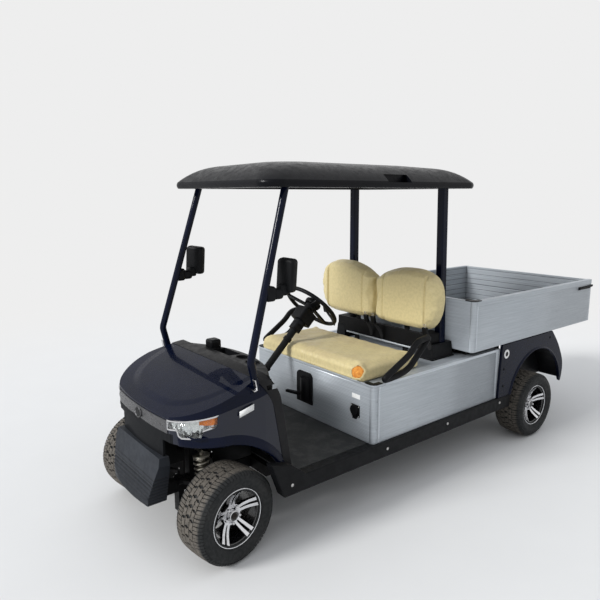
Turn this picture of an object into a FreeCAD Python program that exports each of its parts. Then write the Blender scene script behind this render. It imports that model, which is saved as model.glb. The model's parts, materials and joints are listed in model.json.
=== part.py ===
import FreeCAD, Part
import Sketcher
import math
import os
import re
from types import SimpleNamespace

from FreeCAD import Placement, Rotation, Vector

# Two-seat utility cart with a canopy and a ribbed aluminium load bed, right-hand drive.
# The row frame stands on the floor: +Z up, +X to the vehicle's left, -Y forward,
# with the origin under the middle of the vehicle.

# Driving dimensions in millimetres and degrees
SIZES = {
    # Running gear
    "wheelbase": 2508,
    "front_axle_y": -1510,
    "tyre_radius": 232,
    "tyre_width": 205,
    "rim_radius": 146,
    "rim_width": 176,
    "rim_wall": 7,
    "spoke_pair": 44,
    "spoke_slot": 10,
    "hub_radius": 38,
    "spindle_radius": 15,
    "running_clearance": 0.06,
    "seat_clearance": 0.3,
    "front_half_track": 442.5,
    "rear_half_track": 537.5,
    "kingpin_x": 345,
    "kingpin_radius": 15,
    "kingpin_low": 150,
    "kingpin_top": 334,
    "arm_eye_height": 24,
    "arm_eye_radius": 24,
    "rest_steer": 7,
    "steering_arm_reach": 140,
    "tie_rod_radius": 9,
    "tie_rod_z": 208,
    "arm_bar": 20,
    "arm_root_x": 190,
    "arm_root_spread": 90,
    "arm_bush_radius": 14,
    "spring_radius": 44,
    "spring_wire": 9,
    "spring_turns": 7,
    "damper_radius": 20,
    "tower_top": 482,
    # Frame
    "rail_x": 300,
    "rail_width": 50,
    "rail_low": 262,
    "floor_low": 352,
    "floor_thickness": 8,
    "floor_front_y": -1180,
    "floor_inset": 41,
    "toe_board_inset": 24,
    "toe_board_top": 655,
    "rail_rear_y": 700,
    "kick_rear_y": 860,
    "kick_rise": 190,
    "front_rail_x": 150,
    "front_rail_low": 262,
    "front_rail_height": 60,
    "front_rail_width": 50,
    "rear_rail_end_y": 1700,
    # Sill
    "sill_reach": 21,
    "sill_low": 272,
    "sill_front_y": -1248,
    "sill_nose_y": -1319,
    "sill_nose_z": 462,
    "sill_rear_y": 738,
    # Seat box
    "box_half_width": 559,
    "box_front_y": -616,
    "box_rear_y": 613,
    "box_top": 691,
    "panel_thickness": 24,
    "plank_pitch": 82,
    "groove_depth": 3,
    "groove_width": 7,
    "battery_half_width": 380,
    "battery_length": 560,
    "battery_height": 250,
    # Load bed
    "bed_overhang": 30,
    "bed_front_y": 245,
    "bed_rear_y": 1809,
    "bed_low": 745,
    "bed_height": 331,
    "bed_wall": 28,
    "bed_floor_thickness": 20,
    "bed_rail": 34,
    "tailgate_gap": 5,
    "hinge_radius": 9,
    "hinge_pin_radius": 4,
    "hinge_length": 60,
    "ear_width": 16,
    "bearer_width": 50,
    "bearer_height": 40,
    "bearer_inset": 60,
    "bearer_overhang": 40,
    "latch_length": 210,
    "latch_height": 24,
    "latch_drop": 34,
    # Canopy and pillars
    "roof_low": 1776,
    "roof_front_y": -1261,
    "roof_rear_y": 380,
    "roof_half_width": 492,
    "roof_lip": 36,
    "roof_shoulder": 60,
    "roof_crown": 140,
    "roof_corner": 100,
    "pocket_y": -460,
    "pocket_length": 190,
    "pocket_height": 44,
    "pocket_depth": 70,
    "roof_rim": 112,
    "roof_wall": 8,
    "a_pillar_radius": 19,
    "a_base_inset": 34,
    "a_base_y": -1325,
    "a_base_z": 806,
    "a_kink_inset": 29,
    "a_kink_y": -1361,
    "a_kink_z": 961,
    "a_top_inset": 69,
    "a_top_y": -1114,
    "b_pillar_size": 52,
    "b_pillar_round": 7,
    "b_base_inset": 157,
    "b_base_y": 156,
    "b_top_inset": 101,
    "b_top_y": 140,
    "boot_half_width": 46,
    "boot_front_y": 24,
    "boot_rear_y": 236,
    "boot_height": 96,
    # Seat
    "cushion_inset": 61,
    "cushion_front_y": -646,
    "cushion_rear_y": -130,
    "cushion_thickness": 90,
    "cushion_round": 34,
    "pan_thickness": 14,
    "back_inset": 29,
    "back_front_y": -62,
    "back_low": 905,
    "back_top": 1285,
    "back_thickness": 92,
    "beam_low": 762,
    "beam_height": 104,
    "beam_depth": 30,
    "strap_width": 40,
    "armrest_radius": 15,
    "armrest_bend": 22,
    "hatch_margin": 200,
    "hatch_length": 360,
    # Steering
    "column_x": -200,
    "column_foot_y": -1111,
    "column_radius": 22,
    "column_length": 915,
    "wheel_rise": 200,
    "wheel_hub_radius": 38,
    "shroud_length": 90,
    "shroud_width": 96,
    "shroud_height": 116,
    "wheel_rim_radius": 185,
    "wheel_grip": 13,
    # Front body
    "cowl_inset": 59,
    "trim_width": 45,
    "lamp_reach": 215,
    "well_radius": 38,
    "tray_half_width": 200,
    "cowl_shell": 10,
    "nose_y": -1730,
    "nose_top": 712,
    "nose_low": 638,
    "cowl_rear_y": -1258,
    "cowl_top": 878,
    "cowl_foot_y": -1140,
    "arch_radius": 338,
    "arch_center_y": -1525,
    "arch_center_z": 250,
    "arch_inner_x": 236,
    "bumper_low": 257,
    "bumper_top": 506,
    "bumper_half_width": 262,
    "bumper_foot_half_width": 205,
    "bumper_front_y": -1809,
    "bumper_depth": 114,
    "bumper_lean": 64,
    "bumper_rib_pitch": 18,
    # Fittings
    "rear_arch_top": 633,
    "liner_wall": 6,
    "mirror_inset": 45,
    "mirror_y": -1153,
    "mirror_low": 1300,
    "mirror_width": 74,
    "mirror_depth": 52,
    "mirror_height": 150,
    "shift_x": -34,
    "shift_width": 150,
    "shift_low": 444,
    "shift_top": 646,
    "shift_lever_z": 505,
    "socket_inset": 138,
    "socket_z": 526,
    "socket_radius": 34,
}

doc = FreeCAD.newDocument("cart")
sheet = doc.addObject("Spreadsheet::Sheet", "Sizes")
for row, (name, number) in enumerate(SIZES.items(), start=1):
    sheet.set(f"A{row}", name)
    sheet.set(f"B{row}", str(number))
    sheet.setAlias(f"B{row}", name)
doc.recompute()
v = SimpleNamespace(**{name: float(sheet.get(name)) for name in SIZES})

NODES = []

# Places of the tailgate's hinges along its lower edge
TAILGATE_HINGES = {"left": "380", "right": "-380"}
HINGE_Y = "(bed_rear_y - hinge_radius)"
HINGE_Z = "(bed_low - hinge_radius)"

# Places of the bed's bearers: over the seat box, then over the rear rails
FRONT_BEARERS = ("bed_front_y + 60", "bed_front_y + 260")
REAR_BEARERS = ("kick_rear_y + 20", "(kick_rear_y + rear_rail_end_y) / 2 - 40", "rear_rail_end_y - 80")

# Sizes that several pieces share, each worked out from the sheet
FLOOR_TOP = "(floor_low + floor_thickness)"
DECK_TOP = "(box_top + pan_thickness)"
CUSHION_TOP = f"({DECK_TOP} + seat_clearance + cushion_thickness)"
BED_TOP = "(bed_low + bed_height)"
FLOOR_HALF = "(box_half_width - floor_inset)"
SILL_OUTER = "(box_half_width + sill_reach)"
CUSHION_HALF = "(box_half_width - cushion_inset)"
COWL_HALF = "(box_half_width - cowl_inset)"
BED_HALF = "(box_half_width + bed_overhang)"
BED_INNER = f"({BED_HALF} - bed_wall)"
A_TOP_X = "(roof_half_width - a_top_inset)"
B_BASE_X = "(box_half_width - b_base_inset)"
B_TOP_X = "(roof_half_width - b_top_inset)"

# How far a cutter reaches past what it cuts
AMPLE = 400


# Helpers

def bound(text):
    """Prefix each size's name with the sheet's name, as an expression needs."""
    return re.sub(r"[a-z_]\w*", lambda word: "Sizes." + word[0] if word[0] in SIZES else word[0], text)


def value_of(text):
    """The present value of an expression in the sheet's sizes."""
    return float(sheet.evalExpression(bound(text)))


def bind(thing, **expressions):
    """Bind properties to expressions; a double underscore stands for a dot in the property's path."""
    for path, text in expressions.items():
        thing.setExpression(path.replace("__", "."), bound(text))


def locate(thing, x="0", y="0", z="0"):
    bind(thing, Placement__Base__x=x, Placement__Base__y=y, Placement__Base__z=z)


def box(name, low, lengths):
    """A block from its low corner and its three lengths."""
    block = doc.addObject("Part::Box", name)
    bind(block, Length=lengths[0], Width=lengths[1], Height=lengths[2])
    locate(block, *low)
    return block


def rod(name, start, direction, radius, length):
    """A round bar from its start, along a direction."""
    bar = doc.addObject("Part::Cylinder", name)
    bar.Placement = Placement(Vector(), Rotation(Vector(0, 0, 1), Vector(*direction)))
    bind(bar, Radius=radius, Height=length)
    locate(bar, *start)
    return bar


def fuse(name, *pieces):
    joined = doc.addObject("Part::MultiFuse", name)
    joined.Shapes = list(pieces)
    return joined


def common(name, *pieces):
    shared = doc.addObject("Part::MultiCommon", name)
    shared.Shapes = list(pieces)
    return shared


def group(name, *pieces):
    """Solids that don't touch, kept as one sub-part."""
    together = doc.addObject("Part::Compound", name)
    together.Links = list(pieces)
    return together


def cut(name, base, *tools):
    carved = doc.addObject("Part::Cut", name)
    carved.Base = base
    carved.Tool = tools[0] if len(tools) == 1 else fuse(name + "_tools", *tools)
    return carved


def mirrored(name, source):
    """The same piece on the vehicle's right."""
    twin = doc.addObject("Part::Mirroring", name)
    twin.Source = source
    twin.Normal = Vector(1, 0, 0)
    return twin


def node(label, thing):
    """Mark a finished sub-part for export under its label."""
    thing.Label = label
    NODES.append(thing)
    return thing


def both_sides(stem, thing):
    """A left sub-part and its mirror image."""
    node(stem + "_left", thing)
    node(stem + "_right", mirrored(stem + "_twin", thing))


def sketch_outline(body, plane, points):
    """A closed sketch. A point is (a, b), or (a, b, c, d) where an arc leads through (c, d) to the next."""
    sketch = body.newObject("Sketcher::SketchObject", body.Name + "_sketch")
    origin_plane = next(item for item in body.Origin.OriginFeatures if item.Role == plane + "_Plane")
    sketch.AttachmentSupport = [(origin_plane, "")]
    sketch.MapMode = "FlatFace"
    spots = [Vector(value_of(point[0]), value_of(point[1]), 0) for point in points]
    starts = []
    ends = []
    for index, point in enumerate(points):
        begin, end = spots[index], spots[(index + 1) % len(points)]
        if len(point) == 2:
            edge = sketch.addGeometry(Part.LineSegment(begin, end), False)
            starts.append((edge, 1))
            ends.append((edge, 2))
            continue
        middle = Vector(value_of(point[2]), value_of(point[3]), 0)
        edge = sketch.addGeometry(Part.Arc(begin, middle, end), False)
        forward = (sketch.getPoint(edge, 1) - begin).Length < (sketch.getPoint(edge, 2) - begin).Length
        starts.append((edge, 1 if forward else 2))
        ends.append((edge, 2 if forward else 1))
        marker = sketch.addGeometry(Part.Point(middle), True)
        pin_point(sketch, (marker, 1), point[2:], middle)
        sketch.addConstraint(Sketcher.Constraint("PointOnObject", marker, 1, edge))
    for index, point in enumerate(points):
        sketch.addConstraint(Sketcher.Constraint("Coincident", *ends[index - 1], *starts[index]))
        pin_point(sketch, starts[index], point[:2], spots[index])
    return sketch


def pin_point(sketch, where, texts, spot):
    """Fix a sketch point at two expressions."""
    for kind, text, value in (("DistanceX", texts[0], spot.x), ("DistanceY", texts[1], spot.y)):
        index = sketch.addConstraint(Sketcher.Constraint(kind, -1, 1, *where, value))
        sketch.setExpression(f"Constraints[{index}]", bound(text))


def pad(name, plane, start, length, points):
    """An outline drawn on a plane and padded from a start, along the plane's axis."""
    body = doc.addObject("PartDesign::Body", name)
    sketch = sketch_outline(body, plane, points)
    toward = "-" if plane == "XZ" else ""
    sketch.setExpression("AttachmentOffset.Base.z", bound(f"{toward}({start})"))
    feature = body.newObject("PartDesign::Pad", name + "_pad")
    feature.Profile = sketch
    feature.Reversed = plane == "XZ"
    bind(feature, Length=length)
    return body


def revolve(name, points):
    """An outline of (x, radius) points turned about the X axis."""
    body = doc.addObject("PartDesign::Body", name)
    sketch = sketch_outline(body, "XZ", points)
    feature = body.newObject("PartDesign::Revolution", name + "_turn")
    feature.Profile = sketch
    feature.ReferenceAxis = (sketch, ["H_Axis"])
    feature.Angle = 360
    return body


def tube(points, radius, bend):
    """A round tube along straight runs joined by arcs of the bend radius, as a shape."""
    edges = []
    begin = points[0]
    for before, corner, after in zip(points, points[1:], points[2:]):
        into = (corner - before).normalize()
        away = (after - corner).normalize()
        half_turn = into.getAngle(away) / 2
        reach = bend * math.tan(half_turn)
        first = corner - into * reach
        last = corner + away * reach
        inward = (away - into).normalize()
        middle = corner + inward * (bend / math.cos(half_turn) - bend)
        edges.append(Part.LineSegment(begin, first).toShape())
        edges.append(Part.Arc(first, middle, last).toShape())
        begin = last
    edges.append(Part.LineSegment(begin, points[-1]).toShape())
    path = Part.Wire(edges)
    start_way = (points[1] - points[0]).normalize()
    circle = Part.Wire(Part.makeCircle(radius, points[0], start_way))
    return path.makePipeShell([circle], True, True)


def both(shape):
    """A shape and its mirror image on the vehicle's right."""
    return Part.makeCompound([shape, shape.mirror(Vector(), Vector(1, 0, 0))])


def shaped(name, shape):
    """A sub-part whose shape is worked out from the sheet's values."""
    feature = doc.addObject("Part::Feature", name)
    feature.Shape = shape
    return feature


# Wheels

def tyre_body(name):
    """Tyre section: flat tread with round shoulders, bulging walls and beads on the rim's flanges."""
    half = "tyre_width / 2"
    seat = "rim_width / 2 - rim_wall"
    return revolve(name, [
        (f"-({half}) * 0.86", "tyre_radius"),
        (f"{half} * 0.86", "tyre_radius", f"{half} * 0.97", "tyre_radius - tyre_width * 0.04"),
        (half, "tyre_radius - tyre_width * 0.16", f"{half} * 1.0", "(tyre_radius + rim_radius) / 2"),
        (f"{half} * 0.9", "rim_radius + seat_clearance"),
        (seat, "rim_radius + seat_clearance"),
        (seat, "rim_radius - rim_wall * 2"),
        (f"{seat} - 12", "rim_radius - rim_wall * 2"),
        (f"{half} * 0.8", "rim_radius + 24"),
        (f"{half} * 0.8", "tyre_radius - 22"),
        (f"-({half}) * 0.8", "tyre_radius - 22"),
        (f"-({half}) * 0.8", "rim_radius + 24"),
        (f"12 - ({seat})", "rim_radius - rim_wall * 2"),
        (f"-({seat})", "rim_radius - rim_wall * 2"),
        (f"-({seat})", "rim_radius + seat_clearance"),
        (f"-({half}) * 0.9", "rim_radius + seat_clearance"),
        (f"-({half})", "tyre_radius - tyre_width * 0.16", f"-({half}) * 0.97", "tyre_radius - tyre_width * 0.04"),
    ])


def rim_body(name):
    """Rim barrel with two flanges and a dished disc near its outer face."""
    half = "rim_width / 2"
    barrel = "rim_radius - rim_wall * 3"
    return revolve(name, [
        (half, "rim_radius"),
        (f"{half} - rim_wall", "rim_radius"),
        (f"{half} - rim_wall", "rim_radius - rim_wall * 2"),
        (f"rim_wall - {half}", "rim_radius - rim_wall * 2"),
        (f"rim_wall - {half}", "rim_radius"),
        (f"-({half})", "rim_radius"),
        (f"-({half})", barrel),
        (f"{half} * 0.55", barrel),
        (f"{half} * 0.42", "hub_radius * 1.15"),
        (f"{half} * 0.2", "hub_radius"),
        (f"{half} * 0.2", "spindle_radius + running_clearance"),
        (f"{half} * 0.72", "spindle_radius + running_clearance"),
        (f"{half} * 0.72", "hub_radius"),
        (f"{half} * 0.82", "hub_radius * 1.6"),
        (f"{half} * 0.86", barrel),
        (half, f"{barrel} + rim_wall"),
    ])


def spoke_windows(name):
    """Five wide gaps between the spoke pairs and a narrow slot inside each pair."""
    outer = v.rim_radius - v.rim_wall * 3 - 4
    inner = v.hub_radius * 1.5
    side = v.spoke_pair / 2
    low_turn = 36 - math.degrees(math.asin(side / inner))
    high_turn = 36 - math.degrees(math.asin(side / outer))
    slot_turn = math.degrees(math.asin(v.spoke_slot / 2 / outer))
    gap = [(inner, -low_turn), (outer, -high_turn), (outer, -high_turn / 3), (outer, high_turn / 3),
           (outer, high_turn), (inner, low_turn)]
    slot = [(inner * 1.2, -slot_turn * 2), (outer, -slot_turn), (outer, slot_turn), (inner * 1.2, slot_turn * 2)]
    prisms = []
    for turn in range(5):
        for outline, middle in ((gap, 36), (slot, 0)):
            angles = [(radius, math.radians(angle + middle + turn * 72)) for radius, angle in outline]
            corners = [Vector(0, -radius * math.sin(angle), radius * math.cos(angle)) for radius, angle in angles]
            face = Part.Face(Part.makePolygon(corners + corners[:1]))
            prisms.append(face.extrude(Vector(v.rim_width / 2, 0, 0)))
    return shaped(name, Part.makeCompound(prisms))


def wheel(end, side):
    """A tyre and its rim on their spindle, turned with the knuckle at the front."""
    stem = f"{end}_{side}"
    sign = "" if side == "left" else "-"
    flip = 0 if side == "left" else 180
    tyre = tyre_body(f"tyre_{stem}_turned")
    rim = cut(f"rim_{stem}_cut", rim_body(f"rim_{stem}_turned"), spoke_windows(f"rim_{stem}_windows"))
    steer = v.rest_steer if end == "front" else 0
    for label, piece in (("tyre", tyre), ("rim", rim)):
        held = doc.addObject("Part::Compound", f"{label}_{stem}_held")
        held.Links = [piece]
        held.Placement = Placement(Vector(), Rotation(Vector(0, 0, 1), steer + flip))
        if end == "rear":
            locate(held, f"{sign}rear_half_track", "front_axle_y + wheelbase", "tyre_radius")
        else:
            reach = f"{sign}(front_half_track - kingpin_x)"
            locate(held, f"{sign}kingpin_x + {reach} * cos(rest_steer)",
                   f"front_axle_y + {reach} * sin(rest_steer)", "tyre_radius")
        node(f"{label}_{stem}", held)


def knuckle(side):
    """Kingpin, spindle and steering arm of one front wheel, turned with the steering at rest."""
    sign = 1 if side == "left" else -1
    stem = f"knuckle_{side}"
    pin = rod(stem + "_pin", ("0", "0", "kingpin_low"), (0, 0, 1), "kingpin_radius", "kingpin_top - kingpin_low")
    body_low = "kingpin_low + arm_eye_height + 2"
    upright = rod(stem + "_upright", ("0", "0", body_low), (0, 0, 1), "arm_eye_radius",
                  "kingpin_top - kingpin_low - arm_eye_height * 2 - 4")
    reach = "front_half_track - kingpin_x + rim_width * 0.36"
    spindle = rod(stem + "_spindle", ("0", "0", "tyre_radius"), (sign, 0, 0), "spindle_radius", reach)
    flange = rod(stem + "_flange", ("0", "0", "tyre_radius"), (sign, 0, 0), "hub_radius",
                 "front_half_track - kingpin_x + rim_width * 0.1 - 1")
    lever_low = "-arm_eye_radius - 12" if side == "left" else "arm_eye_radius - 12"
    lever = box(stem + "_lever", (lever_low, "0", "tie_rod_z - 6"), ("24", "steering_arm_reach + 14", "16"))
    held = doc.addObject("Part::Compound", stem + "_held")
    held.Links = [fuse(stem + "_solid", pin, upright, spindle, flange, lever)]
    held.Placement = Placement(Vector(), Rotation(Vector(0, 0, 1), v.rest_steer))
    locate(held, "kingpin_x" if side == "left" else "-kingpin_x", "front_axle_y", "0")
    node(stem, held)


def tie_rod():
    """The bar behind the front axle that ties both steering arms, with a ball stud under each."""
    y = "front_axle_y + steering_arm_reach"
    z = "(tie_rod_z - 16 - seat_clearance)"
    half = "(kingpin_x - arm_eye_radius)"
    bar = rod("tie_rod_bar", (f"-{half}", y, z), (1, 0, 0), "tie_rod_radius", f"{half} * 2")
    balls = [rod(f"tie_rod_end_{index}", (x, y, f"{z} - 10"), (0, 0, 1), "12", "20")
             for index, x in enumerate((half, f"-{half}"))]
    whole = group("tie_rod_held", fuse("tie_rod_whole", bar, *balls))
    locate(whole, "-steering_arm_reach * sin(rest_steer)")
    node("tie_rod", whole)


def front_arms():
    """Upper and lower wishbones of the left front wheel, each with its kingpin eye."""
    pieces = []
    for level, low in (("lower", "kingpin_low"), ("upper", "kingpin_top - arm_eye_height")):
        eye = rod(f"arm_{level}_eye", ("kingpin_x", "front_axle_y", low), (0, 0, 1), "arm_eye_radius", "arm_eye_height")
        low_z = value_of(low) + 2
        shape = None
        for lean in (-1, 1):
            root = Vector(v.arm_root_x, v.front_axle_y + lean * v.arm_root_spread, low_z)
            tip = Vector(v.kingpin_x - 6, v.front_axle_y + lean * 8, low_z)
            along = (tip - root).normalize()
            aside = Vector(-along.y, along.x, 0) * (v.arm_bar / 2)
            corners = [root - aside, tip - aside, tip + aside, root + aside]
            leg = Part.Face(Part.makePolygon(corners + corners[:1])).extrude(Vector(0, 0, v.arm_eye_height - 4))
            shape = leg if shape is None else shape.fuse(leg)
        for lean in (-1, 1):
            start = Vector(v.arm_root_x, v.front_axle_y + lean * v.arm_root_spread - 24, low_z + v.arm_eye_height / 2 - 2)
            shape = shape.fuse(Part.makeCylinder(v.arm_bush_radius, 48, start, Vector(0, 1, 0)))
        plate = Part.makeBox(60, 66, 6, Vector(v.arm_root_x + 36, v.front_axle_y - 33, low_z + v.arm_eye_height - 10))
        if level == "lower":
            shape = shape.fuse(plate)
        legs = shaped(f"arm_{level}_legs", shape)
        bore = rod(f"arm_{level}_bore", ("kingpin_x", "front_axle_y", f"{low} - 5"), (0, 0, 1),
                   "kingpin_radius + running_clearance", "arm_eye_height + 10")
        pieces.append(cut(f"arm_{level}", fuse(f"arm_{level}_whole", eye, legs), bore))
    pieces += [mirrored(piece.Name + "_right", piece) for piece in pieces]
    node("front_arms", group("wishbones", *pieces))


def coil_over():
    """Front damper with its coil, from the lower wishbone up to a pin on the tower."""
    foot = Vector(v.arm_root_x + 66, v.front_axle_y, v.kingpin_low + v.arm_eye_height + 16)
    head = Vector(v.front_rail_x + v.front_rail_width / 2 + v.spring_radius + 8, v.front_axle_y, v.tower_top - 14)
    way = (head - foot).normalize()
    length = (head - foot).Length
    coil_start = length * 0.28
    coil_end = length * 0.9
    shape = Part.makeCylinder(v.damper_radius, length * 0.6, foot, way)
    shape = shape.fuse(Part.makeCylinder(v.damper_radius * 0.5, length, foot, way))
    shape = shape.fuse(Part.makeCylinder(v.damper_radius * 1.2, length * 0.2, foot + way * (coil_end - length * 0.2), way))
    for reach in (coil_start - 12, coil_end + 4):
        shape = shape.fuse(Part.makeCylinder(v.spring_radius, 8, foot + way * reach, way))
    coil = coil_spring(v.spring_radius - v.spring_wire, v.spring_wire * 0.75, coil_end - coil_start + 4)
    coil.Placement = Placement(foot + way * (coil_start - 2), Rotation(Vector(0, 0, 1), way))
    shape = shape.fuse(coil)
    pin_start = Vector(v.front_rail_x + v.front_rail_width / 2, head.y, head.z)
    shape = shape.fuse(Part.makeCylinder(9, head.x - pin_start.x + 12, pin_start, Vector(1, 0, 0)))
    for lean in (-1, 1):
        ear = Part.makeBox(24, 9, 46, Vector(foot.x - 12, foot.y + lean * 24 - 4.5, v.kingpin_low + v.arm_eye_height - 2))
        shape = shape.fuse(ear)
    shape = shape.fuse(Part.makeCylinder(7, 57, Vector(foot.x, foot.y - 28.5, foot.z + 6), Vector(0, 1, 0)))
    node("coil_overs", shaped("coil_over_pair", both(shape)))


def coil_spring(radius, wire, height):
    """A helical spring standing on the origin, with its ends sunk in the plates that hold it."""
    path = Part.makeHelix(height / v.spring_turns, height, radius)
    profile = Part.Wire(Part.makeCircle(wire, Vector(radius, 0, 0), Vector(0, 1, 0)))
    return Part.Wire(path).makePipeShell([profile], True, True)


def rear_axle():
    """Axle tube with its gear housing, the plain can of its motor and the two hub drums."""
    tube_radius = "34"
    y = "front_axle_y + wheelbase"
    half = "(rear_half_track - rim_width * 0.5 + 24)"
    beam = rod("axle_tube", (f"-{half}", y, "tyre_radius"), (1, 0, 0), tube_radius, f"{half} * 2")
    housing = rod("axle_housing", ("-60", y, "tyre_radius"), (1, 0, 0), "92", "150")
    drums = []
    for side, sign in (("left", 1), ("right", -1)):
        start = f"{sign} * {half}"
        drums.append(rod(f"drum_{side}", (f"{sign} * (rear_half_track - rim_width * 0.5 + 20)", y, "tyre_radius"),
                         (sign, 0, 0), "90", "rim_width * 0.36"))
        drums.append(rod(f"spindle_{side}", (start, y, "tyre_radius"), (sign, 0, 0), "spindle_radius", "rim_width * 0.84 - 24"))
    motor = rod("motor_can", ("80", y, "tyre_radius"), (1, 0, 0), "78", "200")
    node("rear_axle", fuse("rear_axle_whole", beam, housing, motor, *drums))


# Frame and floor

def frame_rails():
    """Main rails under the floor that kick up over the rear axle."""
    rear_low = "(rail_low + kick_rise)"
    outline = [
        ("floor_front_y + 50", "rail_low"),
        ("rail_rear_y", "rail_low"),
        ("kick_rear_y", rear_low),
        ("rear_rail_end_y", rear_low),
        ("rear_rail_end_y", "floor_low + kick_rise"),
        ("kick_rear_y", "floor_low + kick_rise"),
        ("rail_rear_y", "floor_low"),
        ("floor_front_y + 50", "floor_low"),
    ]
    rail = pad("rail", "YZ", "rail_x - rail_width / 2", "rail_width", outline)
    risers = [box(f"riser_{index}", ("rail_x - rail_width / 2", y, "floor_low + kick_rise"),
                  ("rail_width", "bearer_width", "bed_low - bearer_height - floor_low - kick_rise"))
              for index, y in enumerate(REAR_BEARERS)]
    both_sides("frame_rail", fuse("rail_whole", rail, *risers))


def frame_crossmembers():
    """Cross bars between the main rails, each from its front face and its lower edge."""
    main_low = "rail_low + 10"
    rear_low = "rail_low + kick_rise + 20"
    places = [("box_front_y - 24", main_low), ("back_front_y + 2", main_low), ("rail_rear_y - 80", main_low),
              ("kick_rear_y + 20", rear_low), ("rear_rail_end_y - 70", rear_low)]
    bars = [box(f"crossbar_{index}", ("rail_width / 2 - rail_x", y, low), ("rail_x * 2 - rail_width", "50", "60"))
            for index, (y, low) in enumerate(places)]
    node("frame_crossmembers", group("crossbars", *bars))


def front_subframe():
    """Narrow front rails between the wheels with the damper towers and a crossbar to the main rails."""
    pieces = []
    nose = "(bumper_front_y + bumper_depth + seat_clearance)"
    length = f"floor_front_y - {nose}"
    half = "front_rail_width / 2"
    for side, start in (("left", f"front_rail_x - {half}"), ("right", f"-front_rail_x - {half}")):
        pieces.append(box(f"subframe_rail_{side}", (start, nose, "front_rail_low"),
                          ("front_rail_width", length, "front_rail_height")))
        pieces.append(box(f"tower_{side}", (start, "front_axle_y - 40", "front_rail_low"),
                          ("front_rail_width", "80", "tower_top - front_rail_low")))
        for lean in ("-", "+"):
            low_x = f"front_rail_x - {half}" if side == "left" else "arm_bush_radius - arm_root_x"
            pieces.append(box(f"arm_bracket_{side}_{'front' if lean == '-' else 'rear'}",
                              (low_x, f"front_axle_y {lean} arm_root_spread - 15", "kingpin_low - 4"),
                              (f"arm_root_x - arm_bush_radius - front_rail_x + {half}", "30",
                               "kingpin_top - kingpin_low + 4")))
    for index, y in enumerate((nose, "front_axle_y + 160")):
        pieces.append(box(f"subframe_cross_{index}", ("-front_rail_x", y, "front_rail_low + 8"),
                          ("front_rail_x * 2", "40", "44")))
    pieces.append(box("subframe_rear", ("-rail_x - rail_width / 2", "floor_front_y", "front_rail_low"),
                      ("rail_x * 2 + rail_width", "50", "front_rail_height")))
    node("front_subframe", fuse("subframe", *pieces))


def floor():
    """Flat floor panel from the toe board to the end of the seat box."""
    panel = box("floor_panel", (f"-{FLOOR_HALF}", "floor_front_y", "floor_low"),
                (f"{FLOOR_HALF} * 2", "box_rear_y - floor_front_y", "floor_thickness"))
    board = pad("toe_board", "YZ", f"toe_board_inset - {COWL_HALF}", f"({COWL_HALF} - toe_board_inset) * 2", [
        ("cowl_foot_y - 2", FLOOR_TOP),
        ("cowl_foot_y + 6", FLOOR_TOP),
        ("cowl_rear_y + 60", "toe_board_top"),
        ("cowl_rear_y + 50", "toe_board_top"),
    ])
    node("floor", fuse("floor_whole", panel, board))


def sills():
    """Side sill with its raised nose behind the front wheel."""
    outline = [
        ("sill_front_y", "sill_low"),
        ("sill_rear_y", "sill_low"),
        ("sill_rear_y", FLOOR_TOP),
        ("cowl_foot_y + 30", FLOOR_TOP),
        ("cowl_foot_y - 60", f"{FLOOR_TOP} + 70"),
        ("sill_nose_y", "sill_nose_z"),
    ]
    both_sides("sill", pad("sill_bar", "YZ", f"{FLOOR_HALF} + 2", f"{SILL_OUTER} - {FLOOR_HALF} - 2", outline))


# Seat box

def plank_outline(outer, inner, low, top, both=False):
    """Section of a ribbed plank wall: grooves on the outer face, and on the inner one if both."""
    toward = "-" if value_of(outer) > value_of(inner) else "+"
    away = "+" if toward == "-" else "-"
    count = int((value_of(top) - value_of(low) - v.groove_width) / v.plank_pitch)
    points = [(inner, low), (outer, low)]
    for index in range(1, count + 1):
        middle = f"{low} + plank_pitch * {index}"
        points += [
            (outer, f"{middle} - groove_width / 2"),
            (f"{outer} {toward} groove_depth", middle),
            (outer, f"{middle} + groove_width / 2"),
        ]
    points += [(outer, top), (inner, top)]
    if both:
        for index in range(count, 0, -1):
            middle = f"{low} + plank_pitch * {index}"
            points += [
                (inner, f"{middle} + groove_width / 2"),
                (f"{inner} {away} groove_depth", middle),
                (inner, f"{middle} - groove_width / 2"),
            ]
    return points


def seat_box():
    """Ribbed walls of the seat box around the battery."""
    side = pad("box_side", "XZ", "box_front_y + panel_thickness", "box_rear_y - box_front_y - panel_thickness",
               plank_outline("box_half_width", "(box_half_width - panel_thickness)", FLOOR_TOP, "box_top"))
    node("seat_box_sides", group("box_sides", side, mirrored("box_side_right", side)))
    outline = plank_outline("box_front_y", "(box_front_y + panel_thickness)", FLOOR_TOP, "box_top")
    inner = "(box_half_width - panel_thickness)"
    front = pad("box_front", "YZ", f"-{inner}", f"{inner} * 2", outline)
    node("seat_box_rear", box("box_rear", (f"-{inner}", "box_rear_y - panel_thickness", FLOOR_TOP),
                              (f"{inner} * 2", "panel_thickness", f"box_top - {FLOOR_TOP}")))
    posts = corner_posts("post", inner, "box_front_y", "panel_thickness", FLOOR_TOP, f"box_top - {FLOOR_TOP}")
    node("seat_box_front", fuse("box_front_whole", front, *posts))
    lid = box("box_deck_plate", ("-box_half_width", "box_front_y", "box_top"),
              ("box_half_width * 2", "box_rear_y - box_front_y", "pan_thickness"))
    hatch = box("box_hatch", (f"hatch_margin - {CUSHION_HALF}", "box_front_y + 60", "box_top - 5"),
                (f"({CUSHION_HALF} - hatch_margin) * 2", "hatch_length", "pan_thickness + 10"))
    node("seat_deck", cut("box_deck", lid, hatch))


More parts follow.
